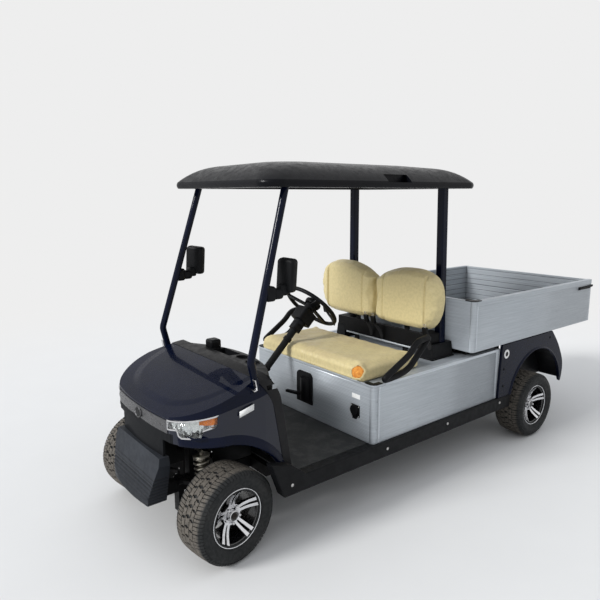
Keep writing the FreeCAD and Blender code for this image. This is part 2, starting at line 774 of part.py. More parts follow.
def corner_posts(name, inner, front_y, wall, low, height):
    """Quarter-round posts that join a front wall to its two side walls."""
    posts = []
    for side, sign in (("left", 1), ("right", -1)):
        round_post = rod(f"{name}_rod_{side}", (f"{sign} * {inner}", f"{front_y} + {wall}", low), (0, 0, 1), wall, height)
        low_x = inner if sign > 0 else f"-{inner} - {wall}"
        quarter = box(f"{name}_quarter_{side}", (low_x, front_y, low), (wall, wall, height))
        posts.append(common(f"{name}_{side}", round_post, quarter))
    return posts


def battery():
    """The plain block of the traction battery on the floor of the seat box."""
    node("battery_block", box("battery", ("-battery_half_width", "box_front_y + 90", "floor_low + floor_thickness"),
                              ("battery_half_width * 2", "battery_length", "battery_height")))


def charge_socket():
    """Round charging socket with its flap on the seat box's front, at the vehicle's left."""
    x = "(box_half_width - socket_inset)"
    boss = rod("socket_boss", (x, "box_front_y", "socket_z"), (0, -1, 0), "socket_radius", "10")
    flap = rod("socket_flap", (x, "box_front_y", "socket_z + 6"), (0, -1, 0), "socket_radius * 0.8", "20")
    tab = box("socket_tab", (f"{x} - 14", "box_front_y - 12", "socket_z - socket_radius - 14"),
              ("28", "12", "socket_radius"))
    node("charge_socket", fuse("socket", boss, flap, tab))


# Load bed

def bed():
    """Floor, ribbed walls with top rails, rear posts and the bearers under the floor."""
    length = "(bed_rear_y - bed_wall - bed_front_y)"
    panel = box("bed_floor_panel", (f"-{BED_INNER}", "bed_front_y + bed_wall", "bed_low"),
                (f"{BED_INNER} * 2", "bed_rear_y - bed_front_y - bed_wall * 2 - tailgate_gap", "bed_floor_thickness"))
    node("bed_floor", fuse("bed_floor_whole", panel, *hinge_ears()))
    side_outline = plank_outline(BED_HALF, BED_INNER, "bed_low", f"({BED_TOP} - bed_rail)", True)
    side = pad("bed_side_wall", "XZ", "bed_front_y + bed_wall", length, side_outline)
    side_rail = box("bed_side_rail", (f"{BED_INNER} - 4", "bed_front_y + bed_wall", f"{BED_TOP} - bed_rail"),
                    ("bed_wall + 6", length, "bed_rail"))
    both_sides("bed_side", fuse("bed_side_whole", side, side_rail))
    front = pad("bed_front_wall", "YZ", f"-{BED_INNER}", f"{BED_INNER} * 2",
                plank_outline("bed_front_y", "(bed_front_y + bed_wall)", "bed_low", BED_TOP, True))
    posts = corner_posts("bed_post", BED_INNER, "bed_front_y", "bed_wall", "bed_low", "bed_height")
    node("bed_front", fuse("bed_front_whole", front, *posts))
    bearers = []
    for ys, half in ((FRONT_BEARERS, "(box_half_width - bearer_inset)"),
                     (REAR_BEARERS, "(rail_x + rail_width / 2 + bearer_overhang)")):
        for y in ys:
            bearers.append(box(f"bearer_{len(bearers)}", (f"-{half}", y, "bed_low - bearer_height"),
                               (f"{half} * 2", "bearer_width", "bearer_height")))
    node("bed_bearers", group("bearers", *bearers))


def hinge_ears():
    """Ears and pins under the bed's rear edge that carry the tailgate."""
    pieces = []
    for side, x in TAILGATE_HINGES.items():
        pieces.append(rod(f"hinge_pin_{side}", (f"{x} - hinge_length / 2 - ear_width", HINGE_Y, HINGE_Z), (1, 0, 0),
                          "hinge_pin_radius", "hinge_length + ear_width * 2"))
        for end, start in (("low", f"{x} - hinge_length / 2 - ear_width - 1"), ("high", f"{x} + hinge_length / 2 + 1")):
            pieces.append(rod(f"hinge_eye_{side}_{end}", (start, HINGE_Y, HINGE_Z), (1, 0, 0), "hinge_radius", "ear_width"))
            pieces.append(box(f"hinge_ear_{side}_{end}", (start, f"{HINGE_Y} - 60", f"{HINGE_Z} - hinge_radius"),
                              ("ear_width", "60", "hinge_radius * 2")))
    return pieces


def bed_latches():
    """Lever latch at the top rear corner of each bed side, with its knob past the tailgate."""
    low = f"({BED_TOP} - bed_rail - latch_drop)"
    plate = box("latch_plate", (BED_HALF, "bed_rear_y - latch_length", low), ("5", "latch_length - 20", "latch_height"))
    lever = pad("latch_lever", "YZ", f"{BED_HALF} + 3", "12", [
        ("bed_rear_y - latch_length + 8", f"{low} + 4"),
        ("bed_rear_y - 30", f"{low} + latch_height / 2 - 2"),
        ("bed_rear_y", f"{low} + latch_height / 2 + 2"),
        ("bed_rear_y", f"{low} + latch_height + 4"),
        ("bed_rear_y - 30", f"{low} + latch_height"),
        ("bed_rear_y - latch_length + 8", f"{low} + 16"),
    ])
    latch = fuse("latch", plate, lever)
    node("bed_latches", group("latch_pair", latch, mirrored("latch_right", latch)))


def tailgate():
    """Ribbed drop tailgate between the bed's sides, hinged on pins under its lower outer edge."""
    low = "(bed_low + 2)"
    half = f"({BED_INNER} - tailgate_gap - 1)"
    wall = pad("tailgate_wall", "YZ", f"-{half}", f"{half} * 2",
               plank_outline("bed_rear_y", "(bed_rear_y - bed_wall)", low, f"({BED_TOP} - 2)", True))
    pieces = [wall]
    bores = []
    for side, x in TAILGATE_HINGES.items():
        start = f"{x} - hinge_length / 2"
        pieces.append(rod(f"barrel_{side}", (start, HINGE_Y, HINGE_Z), (1, 0, 0), "hinge_radius", "hinge_length"))
        pieces.append(box(f"barrel_leaf_{side}", (start, f"{HINGE_Y} - 5", HINGE_Z),
                          ("hinge_length", "hinge_radius + 5", "hinge_radius + 4")))
        bores.append(rod(f"barrel_bore_{side}", (f"{start} - 5", HINGE_Y, HINGE_Z), (1, 0, 0),
                         "hinge_pin_radius + running_clearance", "hinge_length + 10"))
    node("tailgate", cut("tailgate_whole", fuse("tailgate_joined", *pieces), *bores))


# Canopy and pillars

def rounded_outline(half_width, front_y, rear_y, radius, z):
    """A rounded rectangle in plan, as a wire."""
    corners = ((half_width, rear_y, 0), (-half_width, rear_y, 90), (-half_width, front_y, 180), (half_width, front_y, 270))
    arcs = []
    for x, y, start in corners:
        center = Vector(x - math.copysign(radius, x), y - radius if y == rear_y else y + radius, z)
        points = []
        for turn in (start, start + 45, start + 90):
            points.append(center + Vector(math.cos(math.radians(turn)), math.sin(math.radians(turn)), 0) * radius)
        arcs.append(points)
    edges = []
    for index, (begin, middle, end) in enumerate(arcs):
        edges.append(Part.Arc(begin, middle, end).toShape())
        edges.append(Part.LineSegment(end, arcs[(index + 1) % 4][0]).toShape())
    return Part.Wire(edges)


def roof():
    """Moulded canopy: a thin lip with rounded corners, a domed crown, hand pockets and a hollow under it."""
    def level(inset, rise):
        return rounded_outline(v.roof_half_width - inset, v.roof_front_y + inset, v.roof_rear_y - inset,
                               v.roof_corner + inset * 0.2, v.roof_low + rise)
    inner = v.roof_rim + 60
    shoulder = (v.roof_shoulder, v.roof_crown * 0.6)
    brow = (inner, v.roof_crown - 16)
    lip = Part.makeLoft([level(6, 0), level(0, v.roof_lip / 2), level(4, v.roof_lip)], True)
    crown = Part.makeLoft([level(4, v.roof_lip), level(*shoulder), level(*brow)], True)
    cap = Part.makeLoft([level(*brow), level(inner + 130, v.roof_crown)], True, True)
    shell = lip.fuse(crown).fuse(cap)
    under = v.roof_crown - 16 - v.roof_wall
    hollow = Part.makeLoft([level(v.roof_rim, -5), level(v.roof_rim + 14, under * 0.55), level(inner + 16, under)], True)
    upper_hollow = Part.makeLoft([level(inner + 16, under), level(inner + 130, under + 14)], True, True)
    shell = shell.cut(hollow).cut(upper_hollow)
    pad_x = value_of(A_TOP_X)
    seat_pad = Part.makeCylinder(v.a_pillar_radius * 1.7, v.roof_lip, Vector(pad_x, v.a_top_y, v.roof_low))
    pocket = Part.makeBox(v.pocket_depth, v.pocket_length, v.pocket_height,
                          Vector(v.roof_half_width - v.roof_shoulder, v.pocket_y, v.roof_low + v.roof_lip - 6))
    shell = shell.fuse(both(seat_pad)).cut(both(pocket))
    node("roof", shaped("roof_shell", shell))


def pillars():
    """Bent front tubes and square rear posts that carry the canopy."""
    base = Vector(value_of(f"{COWL_HALF} - a_base_inset"), v.a_base_y, v.a_base_z)
    kink = Vector(value_of(f"{COWL_HALF} - a_kink_inset"), v.a_kink_y, v.a_kink_z)
    top = Vector(value_of(A_TOP_X), v.a_top_y, v.roof_low)
    lean = (top - kink).normalize()
    beyond = top + lean * 40
    post = tube([base, kink, beyond], v.a_pillar_radius, 60)
    trim_top = Part.makeBox(AMPLE, AMPLE, AMPLE, Vector(top.x - AMPLE / 2, top.y - AMPLE / 2, v.roof_low))
    node("a_pillars", cut("a_pillar_pair", shaped("a_pillar_tubes", both(post.cut(trim_top))), doc.getObject("form_outer")))
    half = v.b_pillar_size / 2
    round_off = v.b_pillar_round
    sections = []
    for x, y, z in ((value_of(B_BASE_X), v.b_base_y, value_of(DECK_TOP)), (value_of(B_TOP_X), v.b_top_y, v.roof_low)):
        rounds = [(half, -half + round_off), (half, half - round_off), (half - round_off, half), (round_off - half, half),
                  (-half, half - round_off), (-half, round_off - half), (round_off - half, -half), (half - round_off, -half)]
        corners = [Vector(x + i, y + j, z) for i, j in rounds]
        sections.append(Part.makePolygon(corners + corners[:1]))
    both_sides("b_pillar", shaped("b_pillar_post", Part.makeLoft(sections, True, True)))


def pillar_boots():
    """Moulded cover around the foot of each rear post, with a flange on the deck."""
    deck = value_of(DECK_TOP)
    x = value_of(B_BASE_X)
    sections = []
    for half, front, rear, rise in ((v.boot_half_width, v.boot_front_y, v.boot_rear_y, 0),
                                    (v.boot_half_width - 8, v.boot_front_y + 8, v.boot_rear_y - 8, v.boot_height)):
        corners = [Vector(x + i * half, y, deck + rise) for i, y in ((-1, front), (1, front), (1, rear), (-1, rear))]
        sections.append(Part.makePolygon(corners + corners[:1]))
    cover = Part.makeLoft(sections, True, True)
    flange = Part.makeBox(v.boot_half_width * 2 + 20, v.boot_rear_y - v.boot_front_y + 12, 8,
                          Vector(x - v.boot_half_width - 10, v.boot_front_y - 10, deck))
    hole = v.b_pillar_size / 2 + v.seat_clearance
    top_shift = Vector(value_of(B_TOP_X) - x, v.b_top_y - v.b_base_y, v.roof_low - deck)
    opening = []
    for share in (-0.1, 0.3):
        middle = Vector(x, v.b_base_y, deck) + top_shift * share
        corners = [middle + Vector(i * hole, j * hole, 0) for i, j in ((-1, -1), (1, -1), (1, 1), (-1, 1))]
        opening.append(Part.makePolygon(corners + corners[:1]))
    shape = cover.fuse(flange).cut(Part.makeLoft(opening, True, True))
    node("pillar_boots", shaped("boot_pair", both(shape)))


# Seat

def seat():
    """Bench cushion on the deck and the two-lobed back."""
    cushion_low = f"({DECK_TOP} + seat_clearance)"
    bend = "cushion_round * 0.29"
    node("seat_cushion", pad("cushion", "YZ", f"-{CUSHION_HALF}", f"{CUSHION_HALF} * 2", [
        ("cushion_front_y", cushion_low),
        ("cushion_front_y", f"{CUSHION_TOP} - cushion_round", f"cushion_front_y + {bend}", f"{CUSHION_TOP} - {bend}"),
        ("cushion_front_y + cushion_round", CUSHION_TOP),
        ("cushion_rear_y - cushion_round", CUSHION_TOP, f"cushion_rear_y - {bend}", f"{CUSHION_TOP} - {bend}"),
        ("cushion_rear_y", f"{CUSHION_TOP} - cushion_round"),
        ("cushion_rear_y", cushion_low),
    ]))
    half = "(box_half_width - back_inset)"
    outline = [
        ("6", "back_low + 28"),
        (f"{half} - 110", "back_low", f"{half} - 20", "back_low + 26"),
        (half, "back_low + 110"),
        (half, "back_top - 160", f"{half} - 44", "back_top - 44"),
        (f"{half} - 150", "back_top - 3", f"{half} / 2 + 20", "back_top + 4"),
        ("190", "back_top - 3", "72", "back_top - 32"),
        ("6", "back_top - 108"),
    ]
    lobe = pad("back_lobe", "XZ", "back_front_y", "back_thickness", outline)
    lobes = [lobe, mirrored("back_lobe_right", lobe)]
    bridge = box("back_bridge", ("-20", "back_front_y + 14", "back_low + 40"), ("40", "back_thickness - 28", "200"))
    node("seat_back", fuse("seat_back_whole", *lobes, bridge))


def seat_back_frame():
    """Flat beam below the seat back, with straps up behind it and brackets to the rear posts."""
    y = "(back_front_y + back_thickness + seat_clearance)"
    beam_y = "(back_front_y + back_thickness - beam_depth / 2)"
    half = f"({B_BASE_X} - boot_half_width - 12)"
    bars = [box("back_beam", (f"-{half}", beam_y, "beam_low"), (f"{half} * 2", "beam_depth", "beam_height"))]
    for side, x in (("left", f"{half} * 0.6"), ("right", f"-{half} * 0.6 - strap_width")):
        bars.append(box(f"back_strap_{side}", (x, y, "beam_low"), ("strap_width", "10", "back_top - 170 - beam_low")))
        bars.append(box(f"back_foot_{side}", (x, f"{beam_y} + 4", DECK_TOP), ("strap_width", "10", f"beam_low - {DECK_TOP} + 10")))
    bracket_low = f"({DECK_TOP} + boot_height + 5)"
    for side, x in (("left", f"{half} - 20"), ("right", f"-{B_BASE_X} - 15")):
        bars.append(box(f"back_bracket_{side}", (x, beam_y, bracket_low),
                        (f"{B_BASE_X} - {half} + 35", f"b_base_y - {beam_y}", f"beam_low + beam_height - {bracket_low}")))
    posts = [doc.getObject("b_pillar_post"), doc.getObject("b_pillar_twin")]
    node("seat_back_frame", cut("back_frame_trimmed", fuse("back_frame", *bars), *posts))


def armrests():
    """Looped hip restraints at the ends of the bench, leaning outward from a bar along the deck."""
    deck = value_of(DECK_TOP)
    foot = v.armrest_radius * 0.8
    # Each corner is its distance in from the side, its place from the seat back and its rise over the deck
    corners = [(9, -340, foot), (9, -515, foot), (-41, -323, 185), (-41, -228, 197),
               (-41, -128, 210), (2, -206, foot), (9, -340, foot)]
    path = [Vector(v.box_half_width - inset, v.back_front_y + back, deck + rise) for inset, back, rise in corners]
    front_half = tube(path[:4], v.armrest_radius, v.armrest_bend)
    rear_half = tube(path[3:], v.armrest_radius, v.armrest_bend)
    below = Part.makeBox(AMPLE, AMPLE * 3, AMPLE, Vector(v.box_half_width - AMPLE / 2, -AMPLE * 2, deck - AMPLE))
    node("armrests", shaped("armrest_loops", both(front_half.fuse(rear_half).cut(below))))


# Steering and controls

def column_way():
    """The direction of the steering column, which holds the wheel at its height over the cushion."""
    rise = (value_of(CUSHION_TOP) + v.wheel_rise - value_of(FLOOR_TOP)) / v.column_length
    return Vector(0, math.sqrt(1 - rise * rise), rise)


def column_spot(reach):
    """A point on the steering column's axis, at a distance up from its foot."""
    return Vector(v.column_x, v.column_foot_y, value_of(FLOOR_TOP)) + column_way() * reach


def column_block(reach, length, width, height):
    """A block around the column's axis, from a distance up it."""
    block = Part.makeBox(width, height, length, Vector(-width / 2, -height / 2, 0))
    block = block.makeFillet(12, [edge for edge in block.Edges if abs(edge.tangentAt(0).z) > 0.9])
    block.Placement = Placement(column_spot(reach), Rotation(Vector(0, 0, 1), column_way()))
    return block


def steering():
    """Column with its collars and shroud, and the three-spoke wheel that turns on it."""
    way = column_way()
    length = v.column_length
    column = Part.makeCylinder(v.column_radius, length * 0.85 + 60, column_spot(-60), way)
    column = column.fuse(Part.makeCylinder(v.column_radius * 0.7, length * 0.2, column_spot(length * 0.8), way))
    for share, radius, width in ((0.47, 1.2, 14), (0.72, 1.25, 20), (0.86, 1.8, 26)):
        collar = Part.makeCylinder(v.column_radius * radius, width, column_spot(length * share), way)
        column = column.fuse(collar)
    shroud = column_block(length - v.shroud_length - 12, v.shroud_length, v.shroud_width, v.shroud_height)
    column = column.fuse(shroud)
    column = column.fuse(column_block(length - v.shroud_length * 1.9, v.shroud_length, v.shroud_width * 0.6, v.shroud_height * 0.6))
    trim = Part.makeBox(AMPLE, AMPLE, AMPLE, Vector(v.column_x - AMPLE / 2, v.column_foot_y - AMPLE / 2, value_of(FLOOR_TOP) - AMPLE))
    node("steering_column", cut("column_trimmed", shaped("column", column.cut(trim)), doc.getObject("toe_board")))
    hub_start = length + v.seat_clearance
    hub = Part.makeCylinder(v.wheel_hub_radius, 34, column_spot(hub_start), way)
    ring = Part.makeTorus(v.wheel_rim_radius, v.wheel_grip, column_spot(hub_start + 30), way)
    shape = hub.fuse(ring)
    level = Rotation(Vector(0, 0, 1), way)
    for turn in (90, 210, 330):
        spoke = Part.makeBox(v.wheel_rim_radius - 4, 34, 12, Vector(0, -17, 0))
        spoke.rotate(Vector(), Vector(0, 0, 1), turn)
        spoke.Placement = Placement(column_spot(hub_start + 18), level).multiply(spoke.Placement)
        shape = shape.fuse(spoke)
    node("steering_wheel", shaped("hand_wheel", shape))


def pedals():
    """Two pedals on arms that stand on the floor before the driver."""
    pieces = []
    for index, shift in enumerate(("200", "90")):
        middle = f"column_x - {shift}"
        arm = box(f"pedal_arm_{index}", (f"{middle} - 8", "floor_front_y + 130", FLOOR_TOP), ("16", "16", "130"))
        plate = box(f"pedal_plate_{index}", (f"{middle} - 36", "floor_front_y + 146", f"{FLOOR_TOP} + 60"), ("72", "12", "90"))
        pieces.append(fuse(f"pedal_{index}", arm, plate))
    node("pedals", group("pedal_pair", *pieces))


def shift_panel():
    """Plate on the seat box's front with a raised barrel and the direction lever."""
    half = "shift_width / 2"
    face = "box_front_y - 10"
    plate = pad("shift_plate", "XZ", face, "10", [
        (f"shift_x - {half}", "shift_low"),
        (f"shift_x + {half}", "shift_low"),
        (f"shift_x + {half}", "shift_top - 30", f"shift_x + {half} - 9", "shift_top - 9"),
        (f"shift_x + {half} - 30", "shift_top"),
        (f"shift_x - {half} + 30", "shift_top", f"shift_x - {half} + 9", "shift_top - 9"),
        (f"shift_x - {half}", "shift_top - 30"),
    ])
    barrel = pad("shift_barrel", "XY", "shift_low + 25", "shift_top - shift_low - 60", [
        ("shift_x - 26", "box_front_y - 5"),
        ("shift_x + 48", "box_front_y - 5", "shift_x + 11", "box_front_y - 40"),
    ])
    lever = pad("shift_lever", "XY", "shift_lever_z - 8", "16", [
        ("shift_x + 4", "box_front_y - 20"),
        ("shift_x - 20", "box_front_y - 50"),
        ("shift_x - 110", "box_front_y - 74"),
        ("shift_x - 114", "box_front_y - 54"),
        ("shift_x - 20", "box_front_y - 24"),
        ("shift_x - 4", "box_front_y - 9"),
    ])
    node("shift_panel", fuse("shift", plate, barrel, lever))


# Front body

def front_form(name, inset):
    """The nose and cowl as the common of its plan, side and front outlines, moved in by an inset."""
    half = f"({COWL_HALF} - ({inset}))"
    nose = f"(nose_y + ({inset}))"
    plan = pad(name + "_plan", "XY", "300", "700", [
        (half, "cowl_foot_y + 140"),
        (half, "nose_y + 430"),
        (f"{half} - 30", f"{nose} + 205", f"{half} - 95", f"{nose} + 90"),
        (f"{half} - 200", f"{nose} + 22", "0", nose),
        (f"200 - {half}", f"{nose} + 22", f"95 - {half}", f"{nose} + 90"),
        (f"30 - {half}", f"{nose} + 205"),
        (f"-{half}", "nose_y + 430"),
        (f"-{half}", "cowl_foot_y + 140"),
    ])
    top = f"cowl_top - ({inset})"
    side = pad(name + "_side", "YZ", "-600", "1200", [
        ("cowl_foot_y", FLOOR_TOP),
        ("cowl_rear_y + 55", "cowl_top - 140", "cowl_rear_y + 36", "cowl_top - 66"),
        ("cowl_rear_y", top, "(cowl_rear_y + nose_y) / 2", f"(cowl_top + nose_top) / 2 + 14 - ({inset})"),
        (nose, f"nose_top - ({inset})"),
        (f"{nose} + 4", f"nose_low"),
        (f"{nose} - 14", "bumper_top + seat_clearance"),
        ("bumper_front_y + bumper_depth + 20", "bumper_top + seat_clearance"),
        ("front_axle_y", "bumper_top - 60"),
        ("front_axle_y + 150", FLOOR_TOP),
    ])
    front = pad(name + "_front", "XZ", "nose_y - 200", "1000", [
        (half, "300"),
        (half, f"cowl_top - 148 - ({inset})", f"{half} - 20", f"cowl_top - 58 - ({inset})"),
        (f"{half} - 100", f"cowl_top + 4 - ({inset})", "0", f"cowl_top + 22 - ({inset})"),
        (f"100 - {half}", f"cowl_top + 4 - ({inset})", f"20 - {half}", f"cowl_top - 58 - ({inset})"),
        (f"-{half}", f"cowl_top - 148 - ({inset})"),
        (f"-{half}", "300"),
    ])
    return common(name, plan, side, front)


def arch_cutter(name, start):
    """The space of a front wheel, open to the front below the fender's lip."""
    rim = "arch_radius"
    return pad(name, "YZ", start, "600", [
        (f"arch_center_y + {rim}", "arch_center_z", f"arch_center_y + {rim} * cos(45)", f"arch_center_z + {rim} * sin(45)"),
        ("arch_center_y", f"arch_center_z + {rim}"),
        ("nose_y - 200", f"arch_center_z + {rim} + 12"),
        ("nose_y - 200", "0"),
        (f"arch_center_y + {rim}", "0"),
    ])


def front_body():
    """Hood, fenders and cowl trim split from one hollow form, with the lamps and the band set in it."""
    outer = front_form("form_outer", "0")
    front_form("form_dash", "cowl_shell + seat_clearance")
    inner = front_form("form_inner", "cowl_shell")
    arch_left = arch_cutter("arch_left", "arch_inner_x")
    arch_right = mirrored("arch_right", arch_left)
    opened_half = f"({COWL_HALF} - cowl_shell)"
    opened_rear = box("form_rear_opening", (f"-{opened_half}", "cowl_rear_y - 20", "300"),
                      (f"{opened_half} * 2", "400", "cowl_top - cowl_shell - 340"))
    opened_floor = box("form_floor_opening", (f"-{opened_half}", "nose_y + 30", "300"), (f"{opened_half} * 2", "600", "230"))
    openings = [inner, arch_left, arch_right, opened_rear, opened_floor]
    shell = cut("form_shell", outer, *openings)
    above = pad("hood_side_region", "YZ", "-600", "1200", [
        ("nose_y - 100", "nose_top - 28"),
        ("nose_y - 100", "cowl_top + 122"),
        ("nose_y + 730", "cowl_top + 122"),
        ("nose_y + 730", "nose_top + 138"),
    ])
    behind = pad("trim_region", "YZ", "-600", "1200", [
        ("cowl_foot_y - trim_width", FLOOR_TOP),
        ("cowl_foot_y + 60", FLOOR_TOP),
        ("cowl_foot_y + 60", "cowl_top + 60"),
        ("cowl_rear_y - trim_width - 14", "cowl_top + 60"),
        ("cowl_rear_y - trim_width - 14", "cowl_top - 26", "cowl_rear_y - trim_width + 28", "cowl_top - 92"),
        ("cowl_rear_y + 52 - trim_width", "cowl_top - 150"),
    ])
    node("hood", cut("hood_solid", common("hood_panel", shell, above), behind))
    lamp_left = pad("lamp_region", "XZ", "nose_y - 200", "400", [
        (f"{COWL_HALF} - lamp_reach", "nose_top"),
        (f"{COWL_HALF} - 104", "nose_top + 9"),
        (f"{COWL_HALF} - 36", "nose_top + 28"),
        (f"{COWL_HALF} - 37", "nose_low + 50"),
        (f"{COWL_HALF} - 43", "nose_low + 42"),
        (f"{COWL_HALF} - 65", "nose_low + 29"),
        (f"{COWL_HALF} - 74", "nose_low - 7"),
        (f"{COWL_HALF} - 137", "nose_low - 10"),
        (f"{COWL_HALF} - 151", "nose_low"),
        (f"{COWL_HALF} - 158", "nose_low + 26"),
        (f"{COWL_HALF} - lamp_reach", "nose_low + 20"),
    ])
    lamp_right = mirrored("lamp_region_right", lamp_left)
    band_half = f"({COWL_HALF} - lamp_reach - seat_clearance)"
    band_region = box("band_region", (f"-{band_half}", "nose_y - 60", "nose_low"),
                      (f"{band_half} * 2", "160", "nose_top - nose_low - 10"))
    lower = cut("front_lower", shell, above, lamp_left, lamp_right, band_region, behind)
    node("front_fenders", lower)
    proud = front_form("form_proud", "-3")
    deep = front_form("form_deep", "44")
    both_sides("headlamp", cut("headlamp_solid", common("headlamp_block", proud, lamp_left), deep, above))
    band = cut("band_solid", common("band_block", front_form("form_band", "-4"), band_region), front_form("form_band_back", "12"))
    node("nose_band", band)
    node("cowl_trim", cut("cowl_trim_solid", common("cowl_trim_block", proud, behind), *openings))


def bumper():
    """Ribbed trapezoid bumper under the nose."""
    steps = 6
    lean = "(bumper_top - bumper_low)"
    points = [("bumper_front_y + bumper_depth", "bumper_low"), ("bumper_front_y", "bumper_low")]
    for index in range(1, steps + 1):
        z = f"bumper_low + bumper_rib_pitch * {index}"
        face = f"bumper_front_y + bumper_lean * bumper_rib_pitch * {index} / {lean}"
        points += [(face, f"{z} - 4"), (f"{face} + 6", z), (face, f"{z} + 4")]
    points += [("bumper_front_y + bumper_lean", "bumper_top"), ("bumper_front_y + bumper_depth", "bumper_top")]
    side = pad("bumper_profile", "YZ", "-bumper_half_width - 50", "bumper_half_width * 2 + 100", points)
    face = pad("bumper_face", "XZ", "bumper_front_y - 50", "bumper_depth + 100", [
        ("bumper_foot_half_width", "bumper_low"),
        ("bumper_half_width", "bumper_top - 40"),
        ("bumper_half_width - 10", "bumper_top"),
        ("10 - bumper_half_width", "bumper_top"),
        ("-bumper_half_width", "bumper_top - 40"),
        ("-bumper_foot_half_width", "bumper_low"),
    ])
    plan = pad("bumper_plan", "XY", "bumper_low - 50", "bumper_top - bumper_low + 100", [
        ("bumper_half_width + 10", "bumper_front_y + 200"),
        ("-bumper_half_width - 10", "bumper_front_y + 200"),
        ("-bumper_half_width - 10", "bumper_front_y + 26", "0", "bumper_front_y - 1"),
        ("bumper_half_width + 10", "bumper_front_y + 26"),
    ])
    node("bumper", common("bumper_solid", side, face, plan))


def dash():
    """Dash shelf behind the hood with four cup wells and a tray."""
    shelf = pad("dash_block", "YZ", f"-{COWL_HALF}", f"{COWL_HALF} * 2", [
        ("cowl_rear_y + 50", "toe_board_top + seat_clearance"),
        ("cowl_rear_y + 170", "toe_board_top + 45"),
        ("cowl_rear_y + 190", "cowl_top - 30"),
        ("cowl_rear_y + 12", "cowl_top - cowl_shell", "cowl_rear_y + 39", "cowl_top - 64"),
        ("cowl_rear_y + 60", "cowl_top - 138"),
    ])
    outer_well = f"({COWL_HALF} - 120)"
    inner_well = f"({COWL_HALF} - 220)"
    wells = [rod(f"well_{index}", (x, "cowl_rear_y + 100", "cowl_top - 90"), (0, 0, 1), "well_radius", "120")
             for index, x in enumerate((f"-{outer_well}", f"-{inner_well}", inner_well, outer_well))]
    tray = box("dash_tray", ("-tray_half_width", "cowl_rear_y + 50", "cowl_top - 70"), ("tray_half_width * 2", "110", "100"))
    shouldered = common("dash_shouldered", shelf, doc.getObject("form_dash_front"))
    node("dash", cut("dash_solid", shouldered, *wells, tray))


def rear_fenders():
    """Rear wing under the bed with its wheel arch and the liner inside the arch."""
    y = "(front_axle_y + wheelbase)"
    start = (f"{y} - 264", FLOOR_TOP)
    peak = (f"{y} + 77", "rear_arch_top")
    end = (f"{y} + 414", f"{FLOOR_TOP} - 10")
    wing = pad("rear_wing", "YZ", "box_half_width + seat_clearance", f"{SILL_OUTER} - box_half_width - seat_clearance", [
        ("box_rear_y + 18", "bed_low - 10"),
        ("box_rear_y - 25", f"{FLOOR_TOP} + 40"),
        ("box_rear_y - 23", f"{FLOOR_TOP} + 2"),
        (start[0], f"{FLOOR_TOP} + 2", *peak),
        end,
        (f"{y} + 458", "sill_low + 22"),
        (f"{y} + 477", f"{FLOOR_TOP} + 95"),
        (f"{y} + 377", "rear_arch_top - 19"),
        (f"{y} + 275", "bed_low - 10"),
    ])
    liner = pad("rear_liner", "YZ", "rear_half_track - tyre_width / 2 - 20", "box_half_width - rear_half_track + tyre_width / 2 + 24", [
        (start[0], f"{FLOOR_TOP} + 2", *peak),
        end,
        (f"{end[0]} + liner_wall", end[1], peak[0], "rear_arch_top + liner_wall"),
        (f"{start[0]} - liner_wall", f"{FLOOR_TOP} + 2"),
    ])
    both_sides("rear_fender", fuse("rear_fender_whole", wing, liner))


def mirror_pair():
    """Folded mirror on a two-piece arm at each front tube."""
    half = "mirror_width / 2"
    middle = f"({COWL_HALF} - mirror_inset)"
    low = "mirror_low"
    top = "(mirror_low + mirror_height)"
    case = pad("mirror_case", "XZ", "mirror_y", "mirror_depth", [
        (f"{middle} - {half} + 10", low),
        (f"{middle} + {half} - 10", low, f"{middle} + {half} - 3", f"{low} + 3"),
        (f"{middle} + {half}", f"{low} + 14"),
        (f"{middle} + {half}", f"{top} - 20", f"{middle} + {half} - 6", f"{top} - 6"),
        (f"{middle} + {half} - 20", top),
        (f"{middle} - {half} + 20", top, f"{middle} - {half} + 6", f"{top} - 6"),
        (f"{middle} - {half}", f"{top} - 20"),
        (f"{middle} - {half}", f"{low} + 14", f"{middle} - {half} + 3", f"{low} + 3"),
    ])
    clamp = box("mirror_clamp", (f"{middle} - 26", "mirror_y - 130", f"{low} - 42"), ("46", "46", "46"))
    arm = box("mirror_arm", (f"{middle} - 17", "mirror_y - 90", f"{low} - 30"), ("34", "126", "32"))
    whole = fuse("mirror_whole", case, clamp, arm)
    pair = group("mirror_pair", whole, mirrored("mirror_right", whole))
    node("mirrors", cut("mirrors_seated", pair, doc.getObject("a_pillar_tubes")))


def tail_lamps():
    """Lamps on the rear ends of the frame rails, under the bed."""
    lamps = [box(f"tail_lamp_{side}", (f"{sign}rail_x - rail_width / 2 - 8", "rear_rail_end_y", "rail_low + kick_rise + 10"),
                 ("rail_width + 16", "30", "floor_low - rail_low - 20"))
             for side, sign in (("left", ""), ("right", "-"))]
    node("tail_lamps", group("tail_lamp_pair", *lamps))


